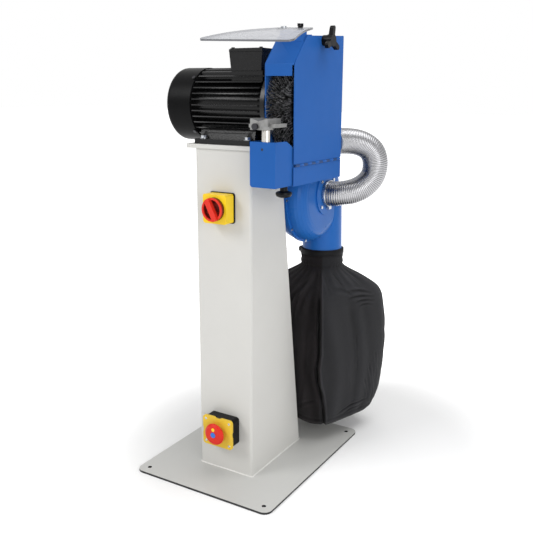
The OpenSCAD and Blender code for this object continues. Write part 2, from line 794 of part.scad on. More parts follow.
module extraction_hose() {
    stretch = 1 / cos(22.5);
    r_out = hose_dia / 2;
    r_in = (hose_bore / 2 + 0.2) * stretch;
    depth = (r_out - r_in) * 0.6;
    rings = 2 * hose_ribs;
    bore_rings = 36;
    pts = [for (i = [0:rings - 1]) each ring_at(hose_len * i / (rings - 1), i % 2 == 0 ? r_out : r_out - depth),
        for (i = [0:bore_rings - 1]) each ring_at(hose_len * i / (bore_rings - 1), r_in)];
    base = rings * 8;
    faces = [for (i = [0:rings - 2]) each band(8 * i, 8 * (i + 1)),
        for (i = [0:bore_rings - 2]) each band(base + 8 * (i + 1), base + 8 * i),
        each band(base, 0),
        each band(8 * (rings - 1), base + 8 * (bore_rings - 1))];
    color("#b4b6b8") polyhedron(pts, faces);
}

module hose_clamps() {
    color("silver") {
        translate(hose_from + [0, 1, 0]) difference() {
            ycyl(hose_dia + 4, 9);
            translate([0, -1, 0]) ycyl(hose_dia + gap, 11);
        }
        translate(hose_to + [1, 0, 0]) xring(hose_dia + 4, hose_dia + gap, 9);
        // Screw housings
        translate(hose_from + [hose_dia / 2 + 1.5, 1.5, -7]) cube([7, 8, 14]);
        translate(hose_to + [1.5, -7, -hose_dia / 2 - 8.5]) cube([8, 14, 7]);
    }
}

// Blower: a rounded drum about X with a round outlet downwards, t is the distance inside its skin
module casing_body(t) {
    r = blower_dia / 2 - t;
    h = blower_w / 2 - t;
    b = casing_round - t;
    prof = [[0, -h], [r - b, -h], each [for (a = [-75:15:-15]) [r - b + b * cos(a), -h + b + b * sin(a)]],
        [r, -h + b], [r, h - b], each [for (a = [15:15:75]) [r - b + b * cos(a), h - b + b * sin(a)]],
        [r - b, h], [0, h]];
    translate([blower_x, blower_y, blower_z]) rotate([0, 90, 0]) rotate_extrude() polygon(prof);
    translate([blower_x, outlet_y, outlet_z - t])
        cylinder(d1 = outlet_dia - 2 * t, d2 = outlet_dia - outlet_taper - 2 * t, h = blower_z - outlet_z - 40 + t);
    translate([blower_x, outlet_y, blower_z - 40]) sphere(d = outlet_dia - outlet_taper - 2 * t);
}

module casing_half(side) {
    lap = seam_t;
    difference() {
        union() {
            intersection() {
                casing_body(0);
                translate([side > 0 ? blower_x : blower_x - blower_dia, blower_y - blower_dia, blower_z - 2 * blower_dia])
                    cube(blower_dia * [1, 2, 3]);
            }
            translate([side > 0 ? blower_x : blower_x - lap, blower_y, blower_z]) xcyl(blower_dia + 2 * seam_w, lap);
        }
        difference() {
            casing_body(blower_wall);
            translate([side > 0 ? blower_x - blower_dia : blower_x + eps, blower_y - blower_dia, blower_z - 2 * blower_dia])
                cube(blower_dia * [1, 2, 3]);
        }
        translate([blower_x, outlet_y, outlet_z - 1]) cylinder(d = outlet_dia - 2 * blower_wall, h = 80);
    }
}

module blower_front_shell() {
    color("#3468b2") difference() {
        casing_half(1);
        translate([blower_x, inlet_y, inlet_z]) xcyl(inlet_bore, blower_w);
        for (a = [45:90:315]) translate([blower_x + 20, inlet_y, inlet_z]) rotate([a, 0, 0])
            translate([0, inlet_screw_r, 0]) xcyl(4.6, 60);
    }
}

module blower_back_shell() {
    color("#2d5b9d") difference() {
        casing_half(-1);
        translate([blower_x - blower_w, inlet_y, inlet_z]) xcyl(fan_shaft + 16, blower_w);
    }
}

module inlet_flange() {
    color("#3468b2") translate([face_x, inlet_y, inlet_z]) difference() {
        union() {
            xcyl(114, inlet_disc_t);
            xcyl(spigot_dia, inlet_disc_t + spigot_len);
        }
        translate([-1, 0, 0]) xcyl(hose_bore - 4, spigot_len + 8);
        for (a = [45:90:315]) rotate([a, 0, 0]) translate([-1, inlet_screw_r, 0]) xcyl(4.6, 8);
    }
}

module blower_screws() {
    color("silver") {
        for (a = [45:90:315]) translate([face_x + inlet_disc_t, inlet_y, inlet_z]) rotate([a, 0, 0])
            translate([0, inlet_screw_r, 0]) {
                xcyl(8.5, 3);
                translate([-inlet_disc_t, 0, 0]) xcyl(4.4, inlet_disc_t + eps);
            }
        for (a = [20:40:260]) translate([blower_x + seam_t, blower_y, blower_z]) rotate([a, 0, 0])
            translate([0, blower_dia / 2 + seam_w / 2 + 0.5, 0]) xcyl(seam_w + 0.6, 3);
    }
}

// Open wheel with straight blades on a back plate, on the motor's shaft
module impeller() {
    back_x = blower_x - blower_w / 2 + 16;
    color("#8c8f93") translate([back_x, inlet_y, inlet_z]) {
        xring(impeller_dia, fan_shaft, 2.5);
        xcyl(34, 22);
        translate([can_x0 + 12 - back_x, 0, 0]) xcyl(fan_shaft, back_x - can_x0 - 11);
        for (i = [0:impeller_blades - 1]) rotate([i * 360 / impeller_blades, 0, 0])
            translate([2, 15, -1]) cube([34, impeller_dia / 2 - 18, 2]);
    }
}

module blower_motor() {
    color("#1d1d1e") difference() {
        translate([can_x0, inlet_y, inlet_z]) {
            xcyl(motor_can_d - 8, motor_can_len + 6);
            xcyl(motor_can_d, 34);
            translate([motor_can_len - 12, 0, 0]) xcyl(motor_can_d, 12);
            intersection() {
                xcyl(motor_can_d, motor_can_len);
                for (i = [-4:4]) translate([32, -motor_can_d, i * 11 - 1.2])
                    cube([motor_can_len - 40, 2 * motor_can_d, 2.4]);
            }
            translate([16, -42, shelf_z - inlet_z]) cube([72, 84, 18]);
        }
        translate([can_x0 + 10, inlet_y, inlet_z]) xcyl(fan_shaft + 2 * run_fit, 200);
    }
}

// Shelf on two gussets behind the column
module blower_bracket() {
    x0 = -column_w / 2 + 2;
    w = 90;
    gusset = [[-20, shelf_z - shelf_t + 1], [-20, shelf_z - 90], [20, shelf_z - 90], [inlet_y + 30, shelf_z - shelf_t + 1]];
    color("#d8d7d2") difference() {
        translate([x0, 0, 0]) union() {
            translate([0, -20, shelf_z - shelf_t]) cube([w, inlet_y + 74, shelf_t]);
            yz_sheet(gusset, 4, 9);
            yz_sheet(gusset, w - 9, w - 4);
        }
        column_body(0);
        translate([-200, -200, 0]) cube([400, 200, 800]);
    }
}

// Dust bag: a square cloth bag under the outlet, turned so that one corner faces front right. Each level is
// [distance below the top, half of the side, squareness, shift to the rear]; a squareness of 2 is a circle.
bag_sides = 32;
bag_half = bag_side / 2;
bag_levels = [[0, bag_neck_r + bag_wall, 2, 0], [50, bag_neck_r + bag_wall, 2, 0],
    [55, bag_neck_r + 7, 2.1, 0], [bag_h * 0.128, bag_half * 0.5, 2.6, 0], [bag_h * 0.174, bag_half * 0.73, 3.4, 0],
    [bag_h * 0.22, bag_half * 0.9, 4.4, 1], [bag_h * 0.272, bag_half * 0.96, 5, 2], [bag_h * 0.425, bag_half, 5.4, 3],
    [bag_h * 0.59, bag_half, 5.6, 4], [bag_h * 0.722, bag_half * 0.98, 5.6, 6], [bag_h * 0.877, bag_half * 0.93, 5.4, 8],
    [bag_h * 0.965, bag_half * 0.86, 5, 8], [bag_h, bag_half * 0.79, 4.6, 8]];
function bag_ring(level, t) =
    [for (k = [0:bag_sides - 1])
        let (a = 360 * k / bag_sides, n = level[2], r = level[1] - t,
            q = pow(pow(abs(cos(a)), n) + pow(abs(sin(a)), n), -1 / n),
            v = r * q * [cos(a), sin(a)] + level[3] * [-sin(-bag_turn), cos(bag_turn)])
        [v[0], v[1], bag_top - level[0] + (level[0] > bag_h - 1 ? t : 0)]];

module dust_bag() {
    n = bag_sides;
    count = len(bag_levels);
    pts = [for (l = bag_levels) each bag_ring(l, 0), for (l = bag_levels) each bag_ring(l, bag_wall)];
    skin = [for (i = [0:count - 2]) for (k = [0:n - 1]) let (m = (k + 1) % n)
        each [[i * n + k, i * n + m, i * n + n + m], [i * n + k, i * n + n + m, i * n + n + k]]];
    lining = [for (f = skin) [f[0], f[2], f[1]] + count * n * [1, 1, 1]];
    mouth = [for (k = [0:n - 1]) let (m = (k + 1) % n, c = count * n) each [[m, k, c + k], [m, c + k, c + m]]];
    floor_out = [for (k = [0:n - 1]) (count - 1) * n + k];
    floor_in = [for (k = [n - 1:-1:0]) count * n + (count - 1) * n + k];
    color("#2b2b2d") translate([blower_x, outlet_y, 0]) rotate(bag_turn)
        polyhedron(pts, concat(skin, lining, mouth, [floor_out, floor_in]));
}

module bag_strap() {
    r = bag_neck_r + 3.3;
    color("#202021") translate([blower_x, outlet_y, bag_top - 16]) {
        difference() {
            cylinder(r = r + 2, h = 14);
            translate([0, 0, -1]) cylinder(r = r, h = 16);
        }
        rotate(-165) translate([r + 1, -9, 1]) cube([5, 18, 12]);
    }
}

// Main switch on the column's front
module switch_base() {
    color("#1b1b1c") translate([0, face_y - switch_gasket, switch_z]) rotate([-90, 0, 0])
        plate(switch_w + 4, switch_h + 4, switch_gasket, 6);
}

module switch_body() {
    color("#f5d21c") translate([0, face_y - switch_gasket - switch_depth, switch_z]) difference() {
        rotate([-90, 0, 0]) plate(switch_w, switch_h, switch_depth, 6);
        translate([0, -1, 0]) ycyl(spindle_d + 2 * run_fit, spindle_len + 2);
    }
}

// Round handle with a slanting grip bar between two hollows
module switch_handle() {
    color("#e8402f") translate([0, face_y - switch_gasket - switch_depth - gap, switch_z]) rotate([90, 0, 0]) {
        difference() {
            cylinder(d = 56, h = 12);
            for (s = [-1, 1]) translate([0, 0, 4]) rotate(27) intersection() {
                cylinder(d = 47, h = 12);
                translate([s > 0 ? 8 : -38, -30, 0]) cube([30, 60, 12]);
            }
        }
        rotate(27) translate([-7, -27, 11]) linear_extrude(6) polygon(rounded([[0, 0], [14, 0], [14, 54], [0, 54]], 6));
        translate([0, 0, -gap - spindle_len]) cylinder(d = spindle_d, h = gap + spindle_len + 1);
    }
}

// Stop switch at knee and foot height
module stop_box() {
    color("#1b1b1c") difference() {
        translate([0, face_y - stop_depth, stop_z]) rotate([-90, 0, 0]) plate(stop_w, stop_h, stop_depth, 8);
        translate([0, face_y - stop_depth - 1, stop_z]) ycyl(plunger_d + 10, stop_depth - 4);
    }
}

module stop_cover() {
    w = stop_w + 4;
    h = stop_h + 6;
    color("#f5c93a") translate([0, face_y - stop_depth, stop_z]) rotate([90, 0, 0]) difference() {
        linear_extrude(stop_cover_t) difference() {
            polygon(rounded(box_outline(w, h), 8, 6));
            for (s = [-1, 1]) translate([s * (w / 2 + 16), 0]) circle(r = 18);
            translate([0, h / 2 + 14]) circle(r = 17.5);
        }
        translate([0, 0, -1]) cylinder(d = plunger_d + 2 * run_fit, h = stop_cover_t + 2);
        for (sx = [-1, 1]) for (sy = [-1, 1]) translate([sx * (w / 2 - 9), sy * (h / 2 - 9), stop_cover_t - 2])
            cylinder(d = 7, h = 4);
    }
}

stop_face = face_y - stop_depth - stop_cover_t;
button_h = 12;

module stop_plunger() {
    color("#2d73d0") translate([0, stop_face, stop_z]) rotate([90, 0, 0])
        translate([0, 0, -20]) cylinder(d = plunger_d, h = 20 + stop_travel + 1 + button_h + 1);
}

module stop_button() {
    color("#e8402f") translate([0, stop_face - stop_travel - 1, stop_z]) rotate([90, 0, 0]) difference() {
        rotate_extrude() polygon([[0, 0], [20, 0], [26, 2], [28, 5], [27, 8], [22, 11], [12, button_h], [0, button_h]]);
        translate([0, 0, -1]) cylinder(d = plunger_d + 2 * run_fit, h = button_h + 2);
    }
}

// Work rest
module rest_bracket() {
    side = [[bracket_y, bracket_z0], [guard_y0 + bracket_in, bracket_z0], [guard_y0 + bracket_in, bracket_z0 + 30],
        [guard_y0 + 22, bracket_z1 - 34], [guard_y0, bracket_z1 - 12], [guard_y0 - 24, bracket_z1], [bracket_y, bracket_z1]];
    x0 = bracket_x0;
    x1 = bracket_x1;
    t = guard_t;
    color("#3468b2") difference() {
        union() {
            yz_sheet(side, x0, x0 + t);
            yz_sheet(side, x1 - t, x1);
            translate([x0, bracket_y, bracket_z0]) cube([x1 - x0, bracket_in + bracket_out, t]);
            translate([x0, bracket_y, bracket_z0]) cube([x1 - x0, t, bracket_h]);
        }
        // Rounded lower left corner of the front
        translate([x0, bracket_y - 1, bracket_z0]) rotate([-90, 0, 0]) difference() {
            translate([-1, -7, 0]) cube([8, 8, bracket_in + bracket_out + 2]);
            translate([7, -7, -1]) cylinder(r = 7, h = bracket_in + bracket_out + 4);
        }
        // Slot for the lock knob's stud
        translate([guard_cx, knob_y, bracket_z0 - 1]) cylinder(d = slot_w, h = t + 2);
        translate([guard_cx, knob_y + bracket_travel, bracket_z0 - 1]) cylinder(d = slot_w, h = t + 2);
        translate([guard_cx - slot_w / 2, knob_y, bracket_z0 - 1]) cube([slot_w, bracket_travel, t + 2]);
        // Set screw
        translate([guard_cx, bracket_y - 1, bracket_z1 - 16]) ycyl(6, t + 2);
    }
}

module rod_socket() {
    color("#2d5b9d") difference() {
        translate([guard_cx, rod_y, bracket_z0 + guard_t]) cylinder(d = rod_dia + 9, h = bracket_h - 8);
        translate([guard_cx, rod_y, bracket_z0]) cylinder(d = rod_dia + 2 * run_fit, h = bracket_h);
        translate([guard_cx - 30, bracket_y - 10, bracket_z0]) cube([60, 10 + guard_t, bracket_h]);
        translate([guard_cx, bracket_y - 1, bracket_z1 - 16]) ycyl(6, 16);
    }
}

module rod_set_screw() {
    color("#2a2a2b") translate([guard_cx, bracket_y + 0.5, bracket_z1 - 16])
        ycyl(5.9, rod_y - rod_dia / 2 - 0.35 - bracket_y - 0.5);
}

module rest_rod() {
    color("silver") translate([guard_cx, rod_y, rod_z0 + gap]) cylinder(d = rod_dia, h = rod_len);
}

module rest_block() {
    x1 = guard_cx + 15;
    x0 = x1 - vee_w;
    y0 = rod_y - clamp_dia / 2 - 1;
    top = block_z0 + block_h;
    vee = [[x0, block_z0 + 7], [x1, block_z0 + 7], [x1, top], [x1 - 3, top], [x0 + vee_w / 2 - 1, top - 6], [x0 + 2, top], [x0, top]];
    color("#b9bab8") difference() {
        union() {
            xz_sheet(vee, y0, y0 + vee_d);
            translate([guard_cx, rod_y, block_z0]) cylinder(d = clamp_dia, h = block_h - 8);
            translate([x0, y0, block_z0]) cube([guard_cx - x0, clamp_dia / 2 + 9, block_h - 6]);
            xz_sheet([[x0 - 5, block_z0 + 5], [x0 + 1, block_z0 + 3], [x0 + 1, block_z0 + 13], [x0 - 5, block_z0 + 12]],
                y0 + 3, y0 + 13);
            translate([guard_cx - 4, y0 + 8, block_z0 + 5]) cube([x1 + 14 - guard_cx + 4, vee_d - 6, 8]);
        }
        translate([guard_cx, rod_y, block_z0 - 1]) cylinder(d = rod_dia + 2 * run_fit, h = block_h - 8 + 1);
        translate([x0 - 1, rod_y - 1, block_z0 - 1]) cube([guard_cx - x0 - 4, 2, 6]);
        translate([x0 + 14, y0 - 1, block_z0 + 7]) ycyl(6.2, 26);
    }
}

module rest_clamp_screw() {
    x0 = guard_cx + 15 - vee_w;
    y0 = rod_y - clamp_dia / 2 - 1;
    color("#3c3c3e") translate([x0 + 14, y0, block_z0 + 7]) {
        translate([0, -6, 0]) ycyl(14, 6);
        ycyl(6, 24);
    }
}

module bracket_knob() {
    color("#1b1b1c") translate([guard_cx, knob_y, guard_z0 - 0.2]) {
        translate([0, 0, -29]) rotate_extrude() polygon([[0, 0], [11, 0], [17, 3], [19, 8], [18, 12], [9, 15], [8, 29], [0, 29]]);
        cylinder(d = 8, h = guard_t * 2 + 8);
        translate([0, 0, guard_t * 2 + 2 * gap + 0.3]) cylinder(d = 20, h = 5);
    }
}

// Eye shield: a clear sheet on a wedge on the guard's roof. It is flat at its slots and bends down to the front.
module shield_place() {
    translate([shield_x, shield_y, shield_z]) rotate([shield_tilt, shield_roll, 0]) children();
}

module eye_shield() {
    rear = 12;
    steps = 10;
    bend_r = (shield_reach - shield_flat) * 180 / PI / shield_bend;
    arc = [for (i = [0:steps]) let (a = shield_bend * i / steps)
        [-shield_flat - bend_r * sin(a), bend_r * (cos(a) - 1)]];
    under = [for (i = [0:steps]) let (a = shield_bend * i / steps)
        [-shield_flat - (bend_r + shield_t) * sin(a), (bend_r + shield_t) * cos(a) - bend_r]];
    side = concat([[rear, shield_t], [rear, 0]], arc, [for (i = [steps:-1:0]) under[i]]);
    outline = [for (c = [[-1, 0], [1, 0], [1, 1], [-1, 1]])
        [c[0] * (c[1] > 0 ? shield_rear_w : shield_w) / 2 + shield_off[c[1]], c[1] > 0 ? rear : -shield_reach]];
    color([0.8, 0.82, 0.85, 0.5]) shield_place() difference() {
        intersection() {
            yz_sheet(side, -200, 200);
            translate([0, 0, -60]) linear_extrude(80) polygon(rounded(outline, 12, 6));
        }
        for (s = [-1, 1]) translate([s * shield_bolt_gap / 2, 0, -1]) {
            cylinder(d = shield_bolt + 0.6, h = shield_t + 2);
            translate([-shield_bolt / 2 - 0.3, -shield_slot, 0]) cube([shield_bolt + 0.6, shield_slot, shield_t + 2]);
            translate([0, -shield_slot, 0]) cylinder(d = shield_bolt + 0.6, h = shield_t + 2);
        }
    }
}

module shield_bracket() {
    w = shield_bolt_gap + 16;
    pad = 2.5;
    color("#3468b2") difference() {
        union() {
            yz_sheet([for (v = [[-4, 0], [38, 0], [38, 2], [-4, 2]]) [shield_y + v[0], roof_at(shield_y + v[0]) + v[1]]],
                shield_x - w / 2, shield_x + w / 2);
            intersection() {
                shield_place() translate([-w / 2, -4.5, -40 - gap / 2]) cube([w, 18, 40]);
                translate([shield_x - w / 2, shield_y - 30, roof_z - 30]) cube([w, 72, 60]);
            }
        }
        shield_place() for (s = [-1, 1]) translate([s * shield_bolt_gap / 2, 0, -pad - 2]) cylinder(d = shield_bolt, h = 8);
        translate([guard_cx - 60, 0, 0]) yz_sheet([[slope_y, roof_z], [guard_back, guard_z1], [guard_back, 0],
            [guard_y0 - 100, 0], [guard_y0, lip_z]], -60, 200);
    }
}

module shield_screw() {
    color("silver") shield_place() translate([-shield_bolt_gap / 2, 0, shield_t + gap]) {
        cylinder(d = 13, h = 3);
        translate([0, 0, -shield_t - gap - 4]) cylinder(d = shield_bolt, h = shield_t + gap + 4 + eps);
    }
}

module shield_knob() {
    color("#1b1b1c") shield_place() translate([shield_bolt_gap / 2, 0, shield_t + gap]) {
        cylinder(d = 11, h = 4.5);
        rotate(-24) for (s = [-1, 1]) translate([s * 5.5 - 3, -1.8, 2]) cube([6, 3.6, 6.5]);
        translate([0, 0, -shield_t - gap - 4]) cylinder(d = shield_bolt - 2 * run_fit, h = shield_t + gap + 4 + eps);
    }
}

// Brush wheel
module brush_arbor() {
    x0 = shoulder_x + 1;
    x1 = brush_x0 + brush_w + 1;
    color("#9a9ca0") translate([x0, shaft_y, shaft_z]) difference() {
        union() {
            xcyl(arbor_dia, guard_cx + core_w / 2 + flange_t - x0);
            xcyl(46, guard_cx - core_w / 2 - flange_t - x0);
            translate([guard_cx + core_w / 2 + flange_t - x0 - eps, 0, 0]) xcyl(20, x1 - guard_cx - core_w / 2 - flange_t);
        }
        translate([-1, 0, 0]) xcyl(shaft_d, shaft_len);
        translate([-1, -key_w / 2, 0]) cube([shaft_len, key_w, key_z + key_h]);
    }
}

module brush_flanges() {
    color("#9a9ca0") for (s = [-1, 1])
        translate([s > 0 ? guard_cx + core_w / 2 : guard_cx - core_w / 2 - flange_t, shaft_y, shaft_z])
            xring(flange_dia, arbor_dia, flange_t);
}

module brush_core() {
    color("#5a5c5f") translate([guard_cx - core_w / 2, shaft_y, shaft_z]) xring(brush_core_dia - 8, arbor_dia, core_w);
}

module arbor_nut() {
    color("silver") translate([guard_cx + core_w / 2 + flange_t, shaft_y, shaft_z]) rotate([0, 90, 0]) difference() {
        cylinder(d = 34, h = nut_w, $fn = 6);
        translate([0, 0, -1]) cylinder(d = 20, h = nut_w + 2);
    }
}

// One wire is a three-sided straight prism that stands on the ring
function wire_pts(x, a, r0, r1) =
    [for (r = [r0, r1]) for (k = [0:2])
        let (ca = cos(a), sa = sin(a), w = wire_d / 2, dx = w * cos(120 * k), dt = w * sin(120 * k))
        [x + dx, r * ca - dt * sa, r * sa + dt * ca]];
wire_faces = [[2, 1, 0], [3, 4, 5], for (k = [0:2]) each [[k, (k + 1) % 3, (k + 1) % 3 + 3], [k, (k + 1) % 3 + 3, k + 3]]];

module brush_wires() {
    row_gap = (brush_w - wire_d) / (wire_rows - 1);
    r1 = brush_dia / 2;
    pts = [for (i = [0:wire_rows - 1]) for (j = [0:wires_in_row - 1])
        each wire_pts(-brush_w / 2 + wire_d / 2 + i * row_gap, (j + (i % 2) / 2) * 360 / wires_in_row, wire_root_r, r1)];
    count = wire_rows * wires_in_row;
    faces = [for (n = [0:count - 1]) for (f = wire_faces) [f[0] + 6 * n, f[1] + 6 * n, f[2] + 6 * n]];
    color("#232324") translate([guard_cx, shaft_y, shaft_z]) union() {
        translate([-brush_w / 2, 0, 0]) xring(brush_core_dia, brush_core_dia - 8, brush_w, $fn = 60);
        polyhedron(pts, faces);
    }
}

base_plate();
column();
motor_plate();
motor_frame();
drive_end_shield();
rear_end_shield();
fan_cowl();
stator();
motor_bearings();
motor_shaft();
rotor_core();
cooling_fan();
terminal_box();
terminal_lid();
cable_gland();
frame_bolts();
cowl_screws();
shaft_key();
guard_side_plate();
guard_wrap();
guard_sill();
hinge_leaf();
hinge_pin();
side_door();
door_knob();
dust_port();
extraction_hose();
hose_clamps();
blower_front_shell();
blower_back_shell();
inlet_flange();
blower_screws();
impeller();
blower_motor();
blower_bracket();
dust_bag();
bag_strap();
switch_base();
switch_body();
switch_handle();
stop_box();
stop_cover();
stop_plunger();
stop_button();
rest_bracket();
rod_socket();
rest_rod();
rest_block();
rest_clamp_screw();
rod_set_screw();
bracket_knob();
eye_shield();
shield_bracket();
shield_screw();
shield_knob();
brush_arbor();
brush_flanges();
brush_core();
brush_wires();
arbor_nut();
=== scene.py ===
"""Looks for the wire brush deburring machine.

Materials, brush wires, hose, cloth bag, small details, floor, lamps and camera. Metres, in the CAD model's frame:
+X along the motor shaft towards the brush, -Y towards the operator, +Z up.
"""

import json
import math
import random

import bpy
import numpy as np
from mathutils import Matrix, Vector


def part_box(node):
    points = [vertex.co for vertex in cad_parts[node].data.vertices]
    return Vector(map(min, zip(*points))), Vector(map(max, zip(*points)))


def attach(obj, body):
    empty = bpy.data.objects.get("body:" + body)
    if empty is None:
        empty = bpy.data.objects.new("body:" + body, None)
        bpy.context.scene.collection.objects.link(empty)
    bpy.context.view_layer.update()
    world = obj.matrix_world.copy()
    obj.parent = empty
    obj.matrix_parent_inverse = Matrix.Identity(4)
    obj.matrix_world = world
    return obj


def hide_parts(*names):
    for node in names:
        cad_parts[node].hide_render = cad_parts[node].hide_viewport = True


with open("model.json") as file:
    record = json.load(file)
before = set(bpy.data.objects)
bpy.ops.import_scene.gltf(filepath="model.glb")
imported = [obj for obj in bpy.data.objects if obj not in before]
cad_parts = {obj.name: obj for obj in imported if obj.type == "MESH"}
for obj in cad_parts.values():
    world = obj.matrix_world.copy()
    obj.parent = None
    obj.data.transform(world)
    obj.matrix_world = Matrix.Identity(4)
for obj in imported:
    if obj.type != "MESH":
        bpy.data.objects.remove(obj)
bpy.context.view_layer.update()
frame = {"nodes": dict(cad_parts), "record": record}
nodes = frame["nodes"]
scene = bpy.context.scene
MM = 0.001

# The bag's axis in mm and its turn on the neck; its front corner's angle in its own frame
BAG_X, BAG_Y, BAG_TURN_DEG, BAG_CORNER_DEG = 70, 253, -18, -44
BAG_TURN = math.radians(BAG_TURN_DEG)


# ---------------------------------------------------------------- materials


def srgb(code):
    """An sRGB colour such as "3468b2" as linear RGBA."""
    out = []
    for i in (0, 2, 4):
        c = int(code[i : i + 2], 16) / 255
        out.append(c / 12.92 if c <= 0.04045 else ((c + 0.055) / 1.055) ** 2.4)
    return (*out, 1.0)


def shade(color, k):
    """The colour times k."""
    return (*(min(1, c * k) for c in color[:3]), 1.0)


class Nodes:
    """A material's node tree with short calls for the nodes used here. A value is a socket or a constant."""

    def __init__(self, name):
        self.mat = bpy.data.materials.new(name)
        self.mat.use_nodes = True
        self.tree = self.mat.node_tree
        self.bsdf = self.find("BSDF_PRINCIPLED")
        self.coord = self.new("ShaderNodeTexCoord").outputs["Object"]

    @classmethod
    def of(cls, mat):
        """Opens a finished material again, to lay something over its colour."""
        n = cls.__new__(cls)
        n.mat, n.tree = mat, mat.node_tree
        n.bsdf = n.find("BSDF_PRINCIPLED")
        n.coord = n.find("TEX_COORD").outputs["Object"]
        return n

    def find(self, kind):
        return next(x for x in self.tree.nodes if x.type == kind)

    def new(self, kind, **settings):
        n = self.tree.nodes.new(kind)
        for k, v in settings.items():
            setattr(n, k, v)
        return n

    def put(self, socket, value):
        if isinstance(value, bpy.types.NodeSocket):
            self.tree.links.new(value, socket)
        else:
            socket.default_value = value

    def set(self, **values):
        """Sets the shader's inputs: Base_Color=... is its "Base Color"."""
        for k, v in values.items():
            self.put(self.bsdf.inputs[k.replace("_", " ")], v)

    def fill(self, node, result, **values):
        """Sets a node's inputs and returns one of its outputs."""
        for k, v in values.items():
            self.put(node.inputs[k.replace("_", " ")], v)
        return node.outputs[result]

    def noise(self, scale, detail=3.0, rough=0.55, stretch=None):
        at = self.coord
        if stretch:
            at = self.fill(self.new("ShaderNodeMapping"), "Vector", Vector=at, Scale=stretch)
        return self.fill(self.new("ShaderNodeTexNoise"), "Fac", Vector=at, Scale=scale, Detail=detail,
                         Roughness=rough)

    def ramp(self, fac, stops):
        n = self.new("ShaderNodeValToRGB")
        e = n.color_ramp.elements
        while len(e) < len(stops):
            e.new(0.5)
        for el, (pos, col) in zip(e, stops):
            el.position = pos
            el.color = col
        return self.fill(n, "Color", Fac=fac)

    def clouds(self, fac, low, high, color, dark, light):
        """A colour that goes from dark to light times itself between two values of fac."""
        return self.ramp(fac, [(low, shade(color, dark)), (high, shade(color, light))])

    def remap(self, value, from_min=0.0, from_max=1.0, to_min=0.0, to_max=1.0, **settings):
        return self.fill(self.new("ShaderNodeMapRange", **settings), "Result", Value=value, From_Min=from_min,
                         From_Max=from_max, To_Min=to_min, To_Max=to_max)

    def mix(self, fac, a, b, **settings):
        return self.fill(self.new("ShaderNodeMix", data_type="RGBA", **settings), "Result", Factor=fac, A=a, B=b)

    def calc(self, how, a, b=0.0):
        n = self.new("ShaderNodeMath", operation=how)
        self.put(n.inputs[0], a)
        self.put(n.inputs[1], b)
        return n.outputs[0]

    def attribute(self, name):
        return self.new("ShaderNodeAttribute", attribute_name=name).outputs["Fac"]

    def axis(self, which):
        n = self.new("ShaderNodeSeparateXYZ")
        self.put(n.inputs[0], self.coord)
        return n.outputs[which]

    def color_now(self):
        return self.bsdf.inputs["Base Color"].links[0].from_socket

    def rough(self, fac, low, high):
        self.set(Roughness=self.remap(fac, to_min=low, to_max=high))

    def bump(self, heights, distance):
        """One or several (height, strength) in a row."""
        last = None
        for height, strength in heights:
            b = self.new("ShaderNodeBump")
            if last is not None:
                self.put(b.inputs["Normal"], last)
            last = self.fill(b, "Normal", Height=height, Strength=strength, Distance=distance)
        self.set(Normal=last)


def paint(name, color, low=0.30, high=0.42, peel=0.10, spread=0.05, coat=0.0, spec=0.5):
    """Baked powder paint: faint orange peel and faint cloudiness."""
    n = Nodes(name)
    n.set(Base_Color=n.clouds(n.noise(7, 4, 0.6), 0.25, 0.75, color, 1 - spread, 1 + spread),
          Specular_IOR_Level=spec, Coat_Weight=coat, Coat_Roughness=0.2)
    n.rough(n.noise(30, 4, 0.6), low, high)
    n.bump([(n.noise(420, 2, 0.5), peel), (n.noise(1500, 2, 0.5), peel * 0.5)], 0.0006)
    return n.mat


def plate_paint(name):
    """The base plate's paint, with painted shade: a near-black contact shadow along the lower part of its edge
    near the floor.
    """
    n = Nodes.of(paint(name, srgb("c3c3c0"), 0.34, 0.48, peel=0.12, spread=0.012))
    ragged = n.calc("MULTIPLY", n.noise(60, 4, 0.6), 0.0004)
    # Painted shade: below about 5 mm the colour goes near black as a contact shadow; the mask is 1 above it,
    # where the plate shows its paint colour
    painted = n.remap(n.calc("SUBTRACT", n.axis(2), ragged), 0.0050, 0.0055)
    n.set(Base_Color=n.mix(painted, srgb("0a0a0a"), n.color_now()))
    return n.mat


def cast(name, color, metal, low, high, grain=0.35, scale=700, spec=0.5):
    """Sand-cast or moulded surface with a fine grain."""
    n = Nodes(name)
    n.set(Base_Color=n.clouds(n.noise(60, 5, 0.65), 0.3, 0.7, color, 0.82, 1.15), Metallic=metal,
          Specular_IOR_Level=spec)
    n.rough(n.noise(140, 4, 0.6), low, high)
    n.bump([(n.noise(scale, 4, 0.7), grain), (n.noise(scale / 6, 3, 0.6), grain * 0.5)], 0.0005)
    return n.mat


def metal(name, color, low, high, stretch=(60, 900, 900), grain=0.12, spread=0.12):
    """Turned, drawn or brushed metal: streaks run where the stretch is least."""
    n = Nodes(name)
    streak = n.noise(1.0, 3, 0.6, stretch)
    n.set(Base_Color=n.clouds(streak, 0.25, 0.75, color, 1 - spread, 1 + spread), Metallic=1.0)
    n.rough(n.calc("MULTIPLY", streak, n.noise(25, 3, 0.6)), low, high)
    n.bump([(streak, grain)], 0.0003)
    return n.mat


def wires(name, dull, bright):
    """Crimped steel wires: most are dull and oily; painted glints give some a bright base colour."""
    n = Nodes(name)
    # Painted glints: the per-vertex wire value times a fine noise picks the bright colour
    painted_glint = n.calc("MULTIPLY", n.attribute("wire"), n.noise(420, 3, 0.75))
    n.set(Base_Color=n.ramp(painted_glint, [(0.26, dull), (0.46, bright)]), Metallic=0.6)
    n.rough(n.noise(300, 3, 0.6), 0.35, 0.55)
    n.bump([(n.noise(900, 2, 0.6), 0.1)], 0.0002)
    return n.mat


